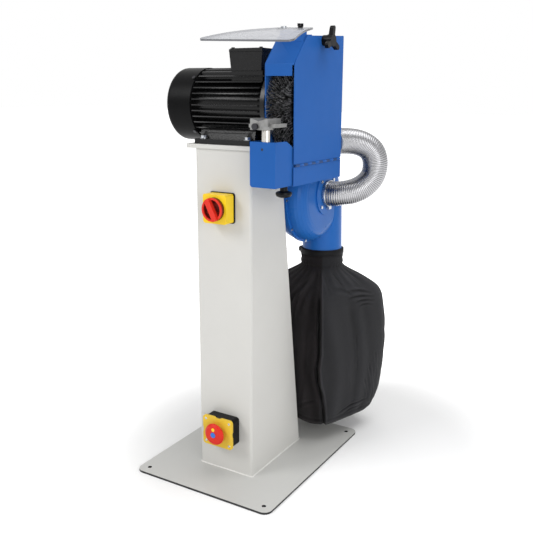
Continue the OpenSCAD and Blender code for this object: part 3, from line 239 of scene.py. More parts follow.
def ribbed(name, color, groove_shade):
    """Thin corrugated aluminium: crests keep the metal colour, and painted shade darkens the grooves."""
    n = Nodes.of(metal(name, color, 0.22, 0.38, (200, 200, 200), 0.25, 0.14))
    # Painted shade: where crest is low, the darker colour takes over in the grooves
    n.set(Base_Color=n.mix(n.attribute("crest"), groove_shade, n.color_now()))
    return n.mat


def plastic(name, color, low, high, grain=0.05, scale=1500, spread=0.04, spec=0.35):
    """Moulded plastic with a fine spark-eroded grain."""
    n = Nodes(name)
    n.set(Base_Color=n.clouds(n.noise(20, 3, 0.5), 0.3, 0.7, color, 1 - spread, 1 + spread),
          Specular_IOR_Level=spec)
    n.rough(n.noise(60, 3, 0.5), low, high)
    n.bump([(n.noise(scale, 2, 0.5), grain)], 0.0004)
    return n.mat


# The rim of the switch handle, 5 mm behind the bar's front
HANDLE_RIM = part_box("switch_handle")[0].y + 5 * MM


def handle_red(name):
    """The switch handle: painted shade, mottled, darkens its two recesses towards their floors."""
    n = Nodes.of(plastic(name, srgb("d92f20"), 0.26, 0.4, spec=0.25))
    deep = n.remap(n.axis(1), HANDLE_RIM + 0.0015, HANDLE_RIM + 0.0060)
    # Painted shade in the two recesses, deeper towards their floors
    recess_shade = n.ramp(n.noise(160, 3, 0.6), [(0.4, srgb("3a0f0c")), (0.65, srgb("7a1a12"))])
    n.set(Base_Color=n.mix(deep, n.color_now(), recess_shade))
    return n.mat


def cloth(name, color, shaded_brown):
    """Filter cloth: a fine twill with a soft nap; painted shade gives the panels left of the front seam a darker,
    browner colour.
    """
    n = Nodes(name)
    tone = n.noise(9, 5, 0.65)
    x, y, z = n.axis(0), n.axis(1), n.axis(2)
    # How far a point lies left of the front corner's plane
    left = math.radians(BAG_TURN_DEG + BAG_CORNER_DEG - 90)
    seam = n.calc("ADD", n.calc("MULTIPLY", n.calc("SUBTRACT", x, BAG_X * MM), math.cos(left)),
                  n.calc("MULTIPLY", n.calc("SUBTRACT", y, BAG_Y * MM), math.sin(left)))
    # Painted shade: left of the front seam the cloth takes the darker, browner colour
    panels = n.mix(n.remap(seam, -0.003, 0.003), n.clouds(tone, 0.3, 0.75, color, 1, 1.12),
                   n.clouds(tone, 0.3, 0.75, shaded_brown, 1, 0.8))
    dusty = n.mix(n.calc("MULTIPLY", n.noise(300, 3, 0.7), 0.35), panels, shade(color, 1.7))
    # Painted shade darkens the bottoms of the folds and painted highlight lightens their crests
    fold_shade_and_highlight = n.ramp(n.attribute("fold"), [(0.0, srgb("303030")), (0.42, srgb("e4e4e4")), (0.62, (1, 1, 1, 1)),
                                        (0.95, (1.5, 1.5, 1.5, 1))])
    n.set(Base_Color=n.mix(1.0, dusty, fold_shade_and_highlight, blend_type="MULTIPLY"), Sheen_Weight=0.06, Sheen_Roughness=0.5,
          Specular_IOR_Level=0.1)
    n.rough(tone, 0.82, 0.95)
    # Two crossing sets of threads, in radians per metre
    across = n.calc("MULTIPLY", n.calc("SUBTRACT", x, y), 4200.0)
    warp = n.calc("SINE", n.calc("ADD", across, n.calc("MULTIPLY", z, 2400.0)))
    weft = n.calc("SINE", n.calc("SUBTRACT", across, n.calc("MULTIPLY", z, 5200.0)))
    n.bump([(n.calc("MULTIPLY", warp, weft), 0.25), (n.noise(90, 4, 0.6), 0.25), (n.noise(1800, 2, 0.6), 0.2)],
           0.0008)
    return n.mat


def clear_sheet(name):
    """Milky polycarbonate that has been wiped often; its cut edges look dark."""
    n = Nodes(name)
    body = n.ramp(n.noise(12, 5, 0.6), [(0.3, srgb("8d8f96")), (0.7, srgb("a3a5ab"))])
    # The sheet's faces point up, its cut edges sideways
    across = n.new("ShaderNodeVectorMath", operation="DOT_PRODUCT")
    n.put(across.inputs[0], n.new("ShaderNodeTexCoord").outputs["Normal"])
    n.put(across.inputs[1], (0.035, -0.13, 0.991))
    cut = n.remap(n.calc("ABSOLUTE", across.outputs["Value"]), 0.8, 0.45)
    n.set(Base_Color=n.mix(cut, body, srgb("55565c")), IOR=1.58,
          Alpha=n.calc("ADD", n.calc("MULTIPLY", cut, 0.28), 0.68))
    n.rough(n.noise(1.0, 4, 0.7, (30, 240, 240)), 0.12, 0.28)
    n.bump([(n.noise(1.0, 3, 0.6, (40, 500, 500)), 0.04)], 0.0002)
    return n.mat

MATERIALS = {
    "blue_paint": paint("blue_paint", srgb("265ba4"), 0.42, 0.54, spec=0.08),
    "blower_blue": paint("blower_blue", srgb("2463b0"), 0.24, 0.34, coat=0.03, spec=0.12),
    "grey_paint": paint("grey_paint", srgb("cdccc8"), 0.42, 0.55, peel=0.16, spread=0.02),
    "plate_grey": plate_paint("plate_grey"),
    "motor_black": cast("motor_black", srgb("101011"), 0.0, 0.2, 0.32, 0.25, 500, spec=0.25),
    "black_plastic": plastic("black_plastic", srgb("0f0f11"), 0.28, 0.42, 0.1, spec=0.12),
    "bright_steel": metal("bright_steel", srgb("b9bcc0"), 0.22, 0.42),
    "dark_steel": metal("dark_steel", srgb("3a3a3d"), 0.35, 0.55),
    "chrome": metal("chrome", srgb("c9c5bf"), 0.14, 0.3, (900, 900, 60), 0.08),
    "cast_alu": cast("cast_alu", srgb("80807f"), 0.75, 0.42, 0.62, 0.6, 420),
    "sheet_alu": metal("sheet_alu", srgb("a9acb0"), 0.3, 0.5),
    "hose": ribbed("hose", srgb("9d9d9f"), srgb("69696c")),
    "wire_bundle": wires("wire_bundle", srgb("121214"), srgb("c4c5c8")),
    "laminated_steel": metal("laminated_steel", srgb("8c8f93"), 0.35, 0.5, (2500, 20, 20), 0.3),
    "yellow_plastic": plastic("yellow_plastic", srgb("f7d022"), 0.3, 0.42),
    "red_plastic": plastic("red_plastic", srgb("d42d1e"), 0.26, 0.4, spec=0.2),
    "blue_plastic": plastic("blue_plastic", srgb("2b6fc9"), 0.25, 0.4),
    "clear_sheet": clear_sheet("clear_sheet"),
    "bag_cloth": cloth("bag_cloth", srgb("29292b"), srgb("1d1819")),
    "strap": plastic("strap", srgb("111113"), 0.5, 0.7, 0.3, 900, spec=0.12),
}

# Some pieces look a little different from the rest of their slot
OWN = {
    "fan_cowl": cast("cowl_black", srgb("0e0e0f"), 0.0, 0.3, 0.4, 0.15, 500, spec=0.05),
    "blower_motor": cast("can_black", srgb("131314"), 0.0, 0.3, 0.4, 0.15, 500, spec=0.2),
    "switch_handle": handle_red("handle_red"),
    "stop_cover": plastic("cover_yellow", srgb("dfbb38"), 0.35, 0.5, spec=0.25),
    "hinge_leaf": paint("hinge_blue", srgb("173a6c"), 0.4, 0.5, spec=0.2),
}

slot_of = {s["node"]: s["material_slot"] for s in frame["record"]["subparts"]}
body_of = {n: b for b, names in frame["record"]["behaviour"]["bodies"].items() for n in names}

# Sheet metal and mouldings catch the light on a small edge radius, in millimetres
EDGE = {
    "motor_plate": 1.0, "motor_frame": 0.5, "terminal_box": 0.8, "terminal_lid": 0.8, "guard_side_plate": 0.35,
    "guard_wrap": 0.35, "guard_sill": 0.4, "side_door": 0.4, "rest_bracket": 0.4, "rest_block": 0.9,
    "switch_body": 1.2, "switch_handle": 0.8, "stop_cover": 0.7, "stop_box": 0.8, "switch_base": 0.8,
    "bag_strap": 0.5, "shield_bracket": 0.3, "frame_bolts": 0.4, "blower_bracket": 0.5, "hose_clamps": 0.3,
    "inlet_flange": 0.4, "blower_screws": 0.4, "eye_shield": 0.5, "shield_knob": 0.6, "rod_set_screw": 0.3,
    "rest_clamp_screw": 0.5, "rest_rod": 0.6,
}


def dress(node):
    """Gives a CAD node its slot's material and, where it has hard edges, a small radius."""
    o = nodes[node]
    mat = OWN.get(node) or MATERIALS[slot_of[node]]
    o.data.materials.clear()
    o.data.materials.append(mat)
    if node in EDGE:
        weld = o.modifiers.new("weld", "WELD")
        weld.merge_threshold = 1e-6
        bevel = o.modifiers.new("bevel", "BEVEL")
        bevel.width = EDGE[node] * MM
        bevel.segments = 2
        bevel.limit_method = "ANGLE"
        bevel.angle_limit = math.radians(35)
        bevel.harden_normals = True


for node in nodes:
    dress(node)
# Clear sheet casts no shadow worth seeing
nodes["eye_shield"].visible_shadow = False


# ---------------------------------------------------------------- mesh helpers


def mesh_object(name, verts, faces, slot, body, replaced=(), smooth=True, material=None):
    """A mesh of the looks alone: its slot, the body that it rides on and the CAD nodes that it replaces."""
    me = bpy.data.meshes.new(name)
    me.from_pydata([tuple(v) for v in verts], [], [tuple(f) for f in faces])
    me.validate()
    me.update()
    o = bpy.data.objects.new(name, me)
    scene.collection.objects.link(o)
    me.materials.append(material or MATERIALS[slot])
    if smooth:
        me.polygons.foreach_set("use_smooth", [True] * len(me.polygons))
    if replaced:
        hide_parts(*replaced)
    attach(o, body)
    return o


def point_values(o, name, values):
    """One number for each vertex, which a material reads."""
    o.data.attributes.new(name, "FLOAT", "POINT").data.foreach_set("value", values)


def grid_faces(rows, cols, start=0):
    """Quads between closed rings of points that follow each other."""
    out = []
    for i in range(rows - 1):
        for j in range(cols):
            a, b = start + i * cols + j, start + i * cols + (j + 1) % cols
            out.append((a, b, b + cols, a + cols))
    return out


# ---------------------------------------------------------------- brush wires


def brush_wires():
    """Crimped wires of three sides each, on a ring that holds their roots."""
    lo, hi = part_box("brush_wires")
    centre = (lo + hi) / 2
    reach = (hi.z - lo.z) / 2
    x0, x1 = lo.x + 0.6 * MM, hi.x - 0.6 * MM
    # The wires spread a little towards the motor as they leave the ring, then run straight out
    splay = 3.8 * MM
    ring_inner, root, ring_outer = 55 * MM, 56 * MM, 59 * MM
    shortest = reach - 9 * MM
    rows, around = 15, 430
    levels, third = 5, 2.0944
    rng = random.Random(11)
    verts, faces, tone = [], [], []

    def wire(x, a, r1, thick, spread, lean_x, lean_a, crimp):
        """One wire from the ring to radius r1, at angle a."""
        base = len(verts)
        # Painted glints: each wire's cut tip gets a higher value than the oily wire behind it, so a brighter
        # colour
        luck = rng.random()
        tone.extend([0.7 * luck] * (3 * (levels - 1)) + [1.35 * luck] * 3)
        phase = rng.uniform(0, 6.28)
        for i in range(levels):
            t = i / (levels - 1)
            r = root + (r1 - root) * t
            wob = crimp * math.sin(phase + t * 14) * t
            side = spread * min(1.0, 2.6 * t)
            xx = min(x1, max(x0 - side, x - side + lean_x * t * t + wob))
            aa = a + (lean_a * t * t + crimp * math.cos(phase * 1.7 + t * 12) * t) / r
            ca, sa = math.cos(aa), math.sin(aa)
            for k in range(3):
                w = third * k
                dx, dt = thick * math.cos(w), thick * math.sin(w)
                verts.append((xx + dx, centre.y + r * ca - dt * sa, centre.z + r * sa + dt * ca))
        faces.extend(grid_faces(levels, 3, base))
        e = base + 3 * (levels - 1)
        faces.append((e, e + 1, e + 2))

    for i in range(rows):
        x = x0 + (x1 - x0) * (i + 0.5) / rows
        for j in range(around):
            a = 2 * math.pi * (j + rng.random()) / around
            # One wire in twenty is worn 4 mm shorter
            r1 = reach - abs(rng.gauss(0, 1.6)) * MM - (rng.random() < 0.05) * 4 * MM
            wire(x + rng.uniform(-1.6, 1.6) * MM, a, max(r1, shortest), rng.uniform(0.28, 0.48) * MM,
                 splay * (1 - (i + 0.5) / rows), rng.gauss(0, 1.0) * MM, rng.gauss(0, 3.2) * MM,
                 rng.uniform(0.3, 0.9) * MM)
    # The ring's section, closed on itself
    start = len(verts)
    steps = 96
    section = ((lo.x, ring_inner), (lo.x, ring_outer), (hi.x, ring_outer), (hi.x, ring_inner))
    for x, r in section:
        for j in range(steps):
            a = 2 * math.pi * j / steps
            verts.append((x, centre.y + r * math.cos(a), centre.z + r * math.sin(a)))
            tone.append(0.3)
    faces += grid_faces(4, steps, start)
    for j in range(steps):
        k = (j + 1) % steps
        faces.append((start + 3 * steps + j, start + 3 * steps + k, start + k, start + j))
    o = mesh_object("brush_bristles", verts, faces, "wire_bundle", "spindle", ["brush_wires"], smooth=False)
    # Per-vertex values that place the painted glints
    point_values(o, "wire", tone)


brush_wires()


# ---------------------------------------------------------------- hose


def bezier(a, b, c, d, t):
    """A point of the curve from a to d with the handles b and c."""
    return a * (1 - t) ** 3 + b * 3 * (1 - t) ** 2 * t + c * 3 * (1 - t) * t * t + d * t ** 3


def hose_route():
    """The CAD hose's centre line: two curves that meet halfway, with short straight ends. Lengths are in mm."""
    lo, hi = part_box("dust_port")
    start = Vector((155, 105, (lo.z + hi.z) / 2 / MM))
    lo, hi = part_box("inlet_flange")
    end = Vector((lo.x / MM + 4, (lo.y + hi.y) / 2 / MM, (lo.z + hi.z) / 2 / MM))
    middle, way = Vector((233, 226, 778)), Vector((-0.04, 0.13, -0.99)).normalized()
    straight = 12
    leave, arrive, go_on, finish = 54, 74, 68, 42
    s, e = start + Vector((0, straight, 0)), end + Vector((straight, 0, 0))
    first = (s, s + Vector((0, leave, 0)), middle - way * arrive, middle)
    second = (middle, middle + way * go_on, e + Vector((finish, 0, 0)), e)
    steps = 200
    pts = [start]
    pts += [bezier(*first, i / steps) for i in range(steps)]
    pts += [bezier(*second, i / steps) for i in range(steps + 1)]
    pts.append(end)
    return [p * MM for p in pts]


def even_points(pts, n):
    """Evenly spaced points along a polyline, and its length."""
    d = [0.0]
    for a, b in zip(pts, pts[1:]):
        d.append(d[-1] + (b - a).length)
    out, k = [], 0
    for i in range(n):
        s = d[-1] * i / (n - 1)
        while k < len(d) - 2 and d[k + 1] < s:
            k += 1
        f = (s - d[k]) / max(1e-9, d[k + 1] - d[k])
        out.append(pts[k].lerp(pts[k + 1], f))
    return out, d[-1]


def hose():
    """A spiral rib round the CAD hose's line, with small dents and rolled-in ends."""
    per_rib, sides, pitch = 8, 72, 4.4 * MM
    groove_r, rib_height = 32.1 * MM, 0.7 * MM
    bore_share = 28.4 / 31.5
    dent_length, dent_angle = 13 * MM, 0.55
    route = hose_route()
    _, length = even_points(route, 2)
    ribs = int(length / pitch)
    rows = ribs * per_rib + 1
    pts, length = even_points(route, rows)
    rng = random.Random(4)
    dents = [(rng.uniform(0.05, 0.95) * length, rng.uniform(0, 6.28), rng.uniform(0.5, 1.3) * MM)
             for _ in range(26)]
    verts, tone = [], []
    up = Vector((0, 0, 1))
    side = None
    for i, p in enumerate(pts):
        a, b = pts[max(0, i - 1)], pts[min(rows - 1, i + 1)]
        d = (b - a).normalized()
        side = (side - d * side.dot(d)).normalized() if side else d.cross(up).normalized()
        other = d.cross(side)
        s = length * i / (rows - 1)
        for j in range(sides):
            w = 2 * math.pi * j / sides
            turn = (s / pitch + j / sides) % 1.0
            crest = min(1, 2.0 * (1 - abs(2 * turn - 1)))
            r = groove_r + rib_height * (crest * crest * (3 - 2 * crest))
            tone.append(crest)
            for ds, dw, depth in dents:
                away = (w - dw + math.pi) % (2 * math.pi) - math.pi
                q = ((s - ds) / dent_length) ** 2 + (away / dent_angle) ** 2
                if q < 4:
                    r -= depth * math.exp(-q)
            verts.append(p + (side * math.cos(w) + other * math.sin(w)) * r)
    faces = grid_faces(rows, sides)
    # Rolled-in ends
    for row, sign in ((0, 1), (rows - 1, -1)):
        c = pts[row]
        inner = []
        for j in range(sides):
            v = verts[row * sides + j]
            inner.append(len(verts))
            verts.append(c + (v - c) * bore_share)
            tone.append(0.5)
        for j in range(sides):
            k = (j + 1) % sides
            f = (row * sides + j, inner[j], inner[k], row * sides + k)
            faces.append(f if sign > 0 else tuple(reversed(f)))
    o = mesh_object("corrugated_hose", verts, faces, "hose", "base", ["extraction_hose"])
    # Per-vertex crest values, which place the painted shade in the grooves
    point_values(o, "crest", tone)


hose()


# ---------------------------------------------------------------- dust bag

BAG_HEIGHT = 484
# The CAD bag's levels: [below the top, half side, squareness, shift to the rear]
BAG_LEVELS = np.array([
    (0, 58.8, 2, 0), (50, 58.8, 2, 0), (55, 62.8, 2.1, 0), (62, 73, 2.6, 0), (84.2, 106.6, 3.4, 0),
    (106.5, 131.4, 4.4, 1), (131.6, 140.2, 5, 2), (205.7, 146, 5.4, 3), (285.6, 146, 5.6, 4),
    (349.4, 143.1, 5.6, 6), (424.5, 135.8, 5.4, 8), (467.1, 125.6, 5, 8), (BAG_HEIGHT, 115.3, 4.6, 8)])
# Where the front corner's seam runs: below the top, and its angle in the bag's own frame
BAG_SEAM = np.array([(0, BAG_CORNER_DEG), (60, -43.7), (110, -44), (260, -43.5), (300, -45.2), (340, -44.3),
                     (380, -41.3), (420, -39.5), (BAG_HEIGHT, -37.5)])
# Creases that the photograph's side shows: angle, depth, angle, depth, width in mm, depth of the fold in mm
BAG_CREASES = [
    (-10, 104, 24, 118, 3.0, 5.0), (-14, 120, 26, 130, 2.8, 4.6), (-4, 134, 26, 141, 2.6, 3.8),
    (2, 146, 24, 152, 2.6, 3.0), (-30, 92, -6, 112, 4, 3.4), (20, 326, 33, 448, 3.0, 5.5),
    (14, 368, 26, 442, 3.0, 4.2), (28, 296, 33, 380, 3, 3.2), (-24, 450, 24, 438, 3.0, 4.2),
    (-14, 462, 14, 452, 2.6, 3.0), (-2, 225, 2, 330, 3.2, 1.8), (-14, 300, -10, 380, 3, 1.4),
    (-58, 84, -66, 150, 6, 6.0), (-64, 76, -84, 140, 6, 5.5), (-70, 96, -76, 190, 5, 3.5),
    (-57, 180, -60, 330, 5, 3.4), (-74, 220, -79, 390, 5, 3.2), (-50, 400, -70, 436, 4, 4.0),
    (-78, 420, -100, 452, 4, 3.6), (-60, 340, -66, 430, 5, 3.2), (-40, 62, -36, 100, 4, 3.0),
    (-22, 60, -14, 92, 4, 2.6), (10, 62, 18, 90, 4, 2.4),
]


def bag_levels(d):
    """Half side, squareness and shift at a depth, with the polyline's corners eased."""
    out = []
    for k in (1, 2, 3):
        near = [np.interp(np.clip(d + o, 0, BAG_HEIGHT), BAG_LEVELS[:, 0], BAG_LEVELS[:, k])
                for o in (-9, -4, 0, 4, 9)]
        eased = sum(near) / 5
        out.append(np.where((d < 49) | (d > 478), near[2], eased))
    return out


def bag_point(d, a, lift):
    """The skin's x and y in mm at depth d and angle a, moved out by lift."""
    half, n, shift = bag_levels(d)
    q = (np.abs(np.cos(a)) ** n + np.abs(np.sin(a)) ** n) ** (-1 / n)
    r = half * q + lift
    x = r * np.cos(a) + shift * math.sin(BAG_TURN)
    y = r * np.sin(a) + shift * math.cos(BAG_TURN)
    c, s = math.cos(BAG_TURN), math.sin(BAG_TURN)
    return BAG_X + x * c - y * s, BAG_Y + x * s + y * c


def bell(x, width):
    """A smooth bump, 1 at x = 0."""
    return np.exp(-((x / width) ** 2))


def bag_lift(d, a, rng):
    """Folds, seams, creases and dents of the cloth in mm, at depth d and angle a."""

    def turn(t):
        return (a - t + np.pi) % (2 * np.pi) - np.pi

    seam = np.radians(np.interp(d, BAG_SEAM[:, 0], BAG_SEAM[:, 1]))
    below = np.clip((d - 52) / 14, 0, 1)
    full = np.clip((d - 90) / 70, 0, 1) * np.clip((500 - d) / 40, 0, 1)
    lift = np.zeros_like(d * a)
    # The front corner is pinched into a ridge, with a deep fold on its left
    u = np.degrees(turn(seam))
    wave = 1 + 0.35 * np.sin(d / 23) + 0.25 * np.sin(d / 9.7 + 1)
    lift = lift + below * (3.4 * bell(u, 0.9) - 12 * wave * bell(u + 2.9, 1.5) * (0.25 + 0.75 * full))
    lift = lift - below * 4.0 * bell(u + 10, 5)
    # The other corners have plain ridges
    for k, side in ((1, 1), (2, -1), (3, 1)):
        v = np.degrees(turn(math.radians(-45 + 90 * k) + 0.02 * np.sin(d / 60 + k)))
        lift = lift + below * (2.6 * bell(v, 1.4) - 3.2 * bell(v - 4.5 * side, 2.6))
    # Faces sag between the corners, more towards the bottom
    mid = np.abs(np.sin(2 * a)) ** 0.7
    lift = lift - full * 2.2 * (1 - mid) * (0.6 + 0.4 * np.sin(d / 80 + a))
    # Gathers where the cloth widens below the collar
    fine, broad = 1.3 * np.sin(23 * a + 1.2 * np.sin(4 * a)), 1.8 * np.sin(9 * a + 0.7) * np.sin(2 * a + 1)
    lift = lift + bell(d - 74, 20) * (fine + broad)
    # Long soft vertical folds
    broad, fine = 0.9 * np.sin(11 * a + 1.1 * np.sin(d / 70)), 0.6 * np.sin(19 * a + 2.2 * np.sin(d / 95 + 1))
    lift = lift + full * (broad + fine)
    # Creases, with chance ones on the sides away from the photograph
    creases = list(BAG_CREASES)
    for _ in range(46):
        ca, cd = rng.uniform(35, 265), rng.uniform(95, 455)
        if rng.random() < 0.5:
            creases.append((ca, cd, ca + rng.uniform(-5, 5), cd + rng.uniform(35, 100), rng.uniform(3, 6),
                            rng.uniform(1.5, 4.0)))
        else:
            creases.append((ca, cd, ca + rng.uniform(8, 24), cd + rng.uniform(-14, 14), rng.uniform(2.4, 3.8),
                            rng.uniform(1.5, 3.6)))
    radius = 150.0
    for a0, d0, a1, d1, width, deep in creases:
        px, py = turn(math.radians(a0)) * radius, d - d0
        qx, qy = math.radians(a1 - a0) * radius, d1 - d0
        t = np.clip((px * qx + py * qy) / (qx * qx + qy * qy), 0, 1)
        bow = 5 * np.sin(t * np.pi)
        off = np.hypot(px - t * qx, py - t * qy + bow)
        fade = np.sin(np.clip(t, 0.02, 0.98) * np.pi) ** 0.6
        lift = lift + below * fade * 0.7 * deep * (0.5 * bell(off - 2 * width, width) - bell(off, width))
    # Bottom hem
    lift = lift + 1.6 * bell(d - 474, 4) - 1.6 * bell(d - 463, 5)
    # Collar: two rolls with a groove between them
    collar = np.clip((52 - d) / 3, 0, 1)
    rolls = 1.5 * np.sin(np.pi * np.clip((d - 16) / 34, 0, 1)) ** 0.5 + 0.9 * np.sin(d * 0.37)
    puckers = 0.5 * np.sin(31 * a + np.sin(7 * a)) * np.clip((d - 18) / 30, 0, 1)
    return lift * (1 - collar) + collar * (rolls + puckers)


def dust_bag():
    """The sewn bag: its skin, a bottom that is drawn in by a few rings, and the mouth turned in on the neck."""
    rng = random.Random(21)
    sides, rows = 400, 250
    neck_r = 56.4
    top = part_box("dust_bag")[1].z
    d = (np.linspace(0, 1, rows) * BAG_HEIGHT)[:, None]
    a = (np.arange(sides) / sides * 2 * np.pi)[None, :]
    # More points near the front corner, where the fold is
    a = a - 0.42 * np.sin(a - math.radians(BAG_CORNER_DEG))
    # The skin starts inside the CAD bag, so that its ridges stay inside too
    lift = bag_lift(d, a, rng) - 1.6
    below = np.clip((d - 50) / 10, 0, 1)
    # Fold values for the painted shade and painted highlight: low in the folds' bottoms, high on their crests
    tone = list((0.5 + np.clip(lift + 2.6, -9, 4.5) / 9 * below).reshape(-1))
    x, y = bag_point(d, a, lift)
    z = top / MM - d + 0 * a
    verts = [tuple(v) for v in np.stack([x, y, z], -1).reshape(-1, 3) * MM]
    faces = grid_faces(rows, sides)
    ring = (rows - 1) * sides
    centre = np.mean(np.array(verts[ring:]), axis=0)
    last = ring
    for k, share in enumerate((0.94, 0.85, 0.65, 0.4, 0.2)):
        start = len(verts)
        for j in range(sides):
            w = centre + (np.array(verts[ring + j]) - centre) * share
            w[2] = centre[2] + (0.7 + 1.5 * k) * MM + 0.8 * MM * math.sin(7 * j / sides * 6.283 + k)
            verts.append(tuple(w))
        for j in range(sides):
            faces.append((last + j, last + (j + 1) % sides, start + (j + 1) % sides, start + j))
        last = start
    verts.append(tuple(centre + np.array([0, 0, 8 * MM])))
    for j in range(sides):
        faces.append((last + j, last + (j + 1) % sides, len(verts) - 1))
    # Turned-in mouth
    start = len(verts)
    for drop in (0.0, 12.0, 40.0):
        for j in range(sides):
            t = float(a[0, j])
            qx, qy = BAG_X + neck_r * math.cos(t + BAG_TURN), BAG_Y + neck_r * math.sin(t + BAG_TURN)
            verts.append((qx * MM, qy * MM, top - drop * MM))
    for j in range(sides):
        k = (j + 1) % sides
        faces.append((k, j, start + j, start + k))
        for i in range(2):
            p = start + i * sides
            faces.append((p + k, p + j, p + sides + j, p + sides + k))
    faces = [tuple(reversed(f)) for f in faces]
    o = mesh_object("cloth_bag", verts, faces, "bag_cloth", "base", ["dust_bag"])
    tone += [0.5] * (len(verts) - len(tone))
    point_values(o, "fold", [float(t) for t in tone])


dust_bag()


# ---------------------------------------------------------------- small details


def round_piece(name, centre, profile, slot, body, sides=32):
    """A turned piece that faces the operator: profile is (radius, height towards -Y) in mm from the centre."""
    verts = []
    for r, h in profile:
        for k in range(sides):
            w = 2 * math.pi * k / sides
            verts.append((centre + Vector((r * math.cos(w), -h, r * math.sin(w)))) * MM)
    faces = grid_faces(len(profile), sides)
    top = (len(profile) - 1) * sides
    faces.append(tuple(top + k for k in range(sides)))
    mesh_object(name, verts, faces, slot, body, smooth=False)


def stop_details():
    """Screws of the stop switch's cover, and the round mark on its button."""
    lo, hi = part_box("stop_cover")
    # The box and its button are centred on this height. Each screw is 9 mm from two edges, its foot 2 mm deep
    cx, cz, inset, depth = (lo.x + hi.x) / 2 / MM, 125.0, 9, 2.0
    w, h = (hi.x - lo.x) / MM, (hi.z - lo.z) / MM
    face = lo.y / MM
    screw = [(3.3, 0), (3.3, 1.7), (2.9, 2.1), (1.3, 2.1), (1.2, 1.0)]
    places = [(sx, sz) for sx in (-1, 1) for sz in (-1, 1)]
    for n, (sx, sz) in enumerate(places, 1):
        c = Vector((cx + sx * (w / 2 - inset), face + depth, cz + sz * (h / 2 - inset)))
        round_piece(f"cover_screw_{n}", c, screw, "bright_steel", "base")
    # The mark is 14 mm above the middle of the button's face
    lo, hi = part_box("stop_button")
    c = Vector((cx, lo.y / MM, cz + 14))
    round_piece("button_mark", c, [(4.6, -1.4), (4.5, 0.1), (3.0, 0.2)], "yellow_plastic", body_of["stop_button"])


stop_details()


def foot_bead():
    """A thin bead where the column meets the base plate; its near-white colour is a painted highlight."""
    lo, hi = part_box("column")
    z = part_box("base_plate")[1].z
    r = 6 * MM
    outline = []
    corners = ((hi.x - r, lo.y + r, -90), (hi.x - r, hi.y - r, 0),
               (lo.x + r, hi.y - r, 90), (lo.x + r, lo.y + r, 180))
    for cx, cy, a0 in corners:
        for k in range(9):
            t = math.radians(a0 + k * 90 / 8)
            outline.append(Vector((cx + r * math.cos(t), cy + r * math.sin(t), 0)))
    pts = []
    for i, p in enumerate(outline):
        q = outline[(i + 1) % len(outline)]
        steps = max(1, int((q - p).length / (3 * MM)))
        for k in range(steps):
            pts.append(p.lerp(q, k / steps))
    n = len(pts)
    rng = random.Random(3)
    verts, section = [], 5
    for i in range(n):
        t = (pts[(i + 1) % n] - pts[i - 1]).normalized()
        out = Vector((t.y, -t.x, 0))
        size = (2.3 + 0.35 * math.sin(i * 1.9) + rng.uniform(-0.25, 0.25)) * MM
        for k in range(section):
            w = math.radians(90 * k / (section - 1))
            verts.append(pts[i] + out * (size * math.cos(w)) + Vector((0, 0, z + size * math.sin(w))))
    faces = []
    for i in range(n):
        j = (i + 1) % n
        for k in range(section - 1):
            faces.append((i * section + k, j * section + k, j * section + k + 1, i * section + k + 1))
    # Painted highlight: the bead's near-white colour stands for the light line along the column's foot
    white = paint("bead_highlight", srgb("dcdbd7"), 0.3, 0.4, spec=0.6)
    mesh_object("foot_bead", verts, faces, "grey_paint", "base", material=white)


foot_bead()


# ---------------------------------------------------------------- stage, lamps, camera


def floor():
    """A pale floor that keeps the shadow near the object and fades into the white backdrop farther off."""
    me = bpy.data.meshes.new("floor")
    s = 30
    me.from_pydata([(-s, -s, 0), (s, -s, 0), (s, s, 0), (-s, s, 0)], [], [(0, 1, 2, 3)])
    o = bpy.data.objects.new("floor", me)
    scene.collection.objects.link(o)
    n = Nodes("floor")
    path = n.new("ShaderNodeLightPath")
    seen = n.calc("ADD", n.calc("ADD", path.outputs["Is Camera Ray"], path.outputs["Is Glossy Ray"]),
                  path.outputs["Is Transmission Ray"])
    away = n.new("ShaderNodeVectorMath", operation="DISTANCE")
    n.put(away.inputs[0], n.coord)
    n.put(away.inputs[1], (0.12, 0.12, 0))
    far = n.remap(away.outputs["Value"], 0.40, 0.95, 0.06, 1.0, interpolation_type="SMOOTHSTEP")
    n.set(Base_Color=(0.9, 0.9, 0.9, 1), Roughness=0.9, Specular_IOR_Level=0.1, Emission_Color=(1, 1, 1, 1),
          Emission_Strength=n.calc("MULTIPLY", n.calc("MINIMUM", seen, 1.0), far))
    me.materials.append(n.mat)


floor()


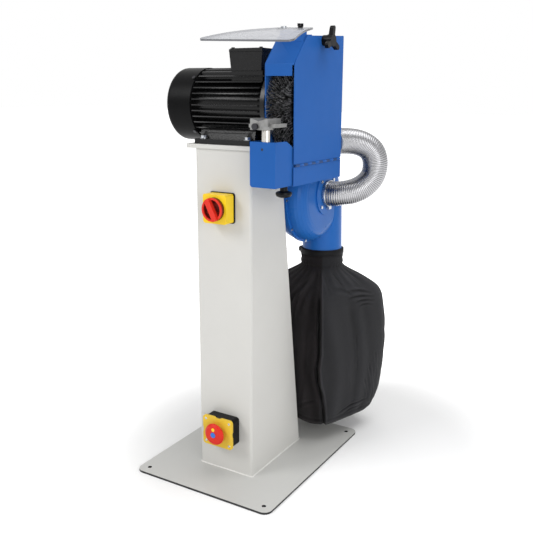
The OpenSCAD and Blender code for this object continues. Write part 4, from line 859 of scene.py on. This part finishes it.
def studio():
    """A soft world for the light, and plain white where the camera, a reflection or a clear sheet looks at it."""
    world = bpy.data.worlds.new("studio")
    scene.world = world
    world.use_nodes = True
    tree = world.node_tree
    tree.nodes.clear()
    shades = []
    for strength in (0.42, 1.0):
        shades.append(tree.nodes.new("ShaderNodeBackground"))
        shades[-1].inputs["Color"].default_value = (1, 1, 1, 1)
        shades[-1].inputs["Strength"].default_value = strength
    path = tree.nodes.new("ShaderNodeLightPath")
    camera_or_glossy = tree.nodes.new("ShaderNodeMath")
    seen = tree.nodes.new("ShaderNodeMath")
    seen.use_clamp = True
    mix = tree.nodes.new("ShaderNodeMixShader")
    out = tree.nodes.new("ShaderNodeOutputWorld")
    for a, b in ((path.outputs["Is Camera Ray"], camera_or_glossy.inputs[0]),
                 (path.outputs["Is Glossy Ray"], camera_or_glossy.inputs[1]),
                 (camera_or_glossy.outputs[0], seen.inputs[0]),
                 (path.outputs["Is Transmission Ray"], seen.inputs[1]),
                 (seen.outputs[0], mix.inputs[0]),
                 (shades[0].outputs[0], mix.inputs[1]),
                 (shades[1].outputs[0], mix.inputs[2]),
                 (mix.outputs[0], out.inputs[0])):
        tree.links.new(a, b)


studio()


def lamp(name, place, target, size, watts):
    """A square area lamp that faces its target."""
    d = bpy.data.lights.new(name, "AREA")
    d.shape = "RECTANGLE"
    d.size, d.size_y = size, size
    d.energy = watts
    o = bpy.data.objects.new(name, d)
    o.location = place
    o.rotation_euler = (Vector(target) - Vector(place)).to_track_quat("-Z", "Y").to_euler()
    scene.collection.objects.link(o)


lamp("key", (-2.0, -2.8, 3.0), (0.05, 0, 0.6), 1.6, 74)
lamp("fill", (2.9, -2.1, 1.5), (0.1, 0, 0.6), 2.2, 52)
lamp("top", (0.9, 0.4, 3.3), (0.1, 0, 0.3), 2.0, 48)

# The photograph's camera, as fitted: turns in degrees, place in metres, focal length and centre in its pixels
PICTURE, FOCAL = 533, 716.08
CENTRE_X, CENTRE_Y = 280.40, 264.87
PLACE = (0.97283, -1.51030, 0.96143)
SENSOR = 36
AZ, EL, ROLL = (math.radians(v) for v in (30.517, 13.655, 0.446))
back = Vector((math.sin(AZ) * math.cos(EL), -math.cos(AZ) * math.cos(EL), math.sin(EL)))
right = Vector((math.cos(AZ), math.sin(AZ), 0))
up = right.cross(-back)
right = right * math.cos(ROLL) + up * math.sin(ROLL)
up = back.cross(right)
camera_data = bpy.data.cameras.new("camera")
camera_data.lens = FOCAL / PICTURE * SENSOR
camera_data.sensor_width = SENSOR
camera_data.shift_x = (PICTURE / 2 - CENTRE_X) / PICTURE
camera_data.shift_y = (CENTRE_Y - PICTURE / 2) / PICTURE
camera_data.clip_end = 60
camera = bpy.data.objects.new("camera", camera_data)
camera.matrix_world = Matrix((
    (right.x, up.x, back.x, PLACE[0]),
    (right.y, up.y, back.y, PLACE[1]),
    (right.z, up.z, back.z, PLACE[2]),
    (0, 0, 0, 1),
))
scene.collection.objects.link(camera)
scene.camera = camera
scene.view_settings.view_transform = "Standard"
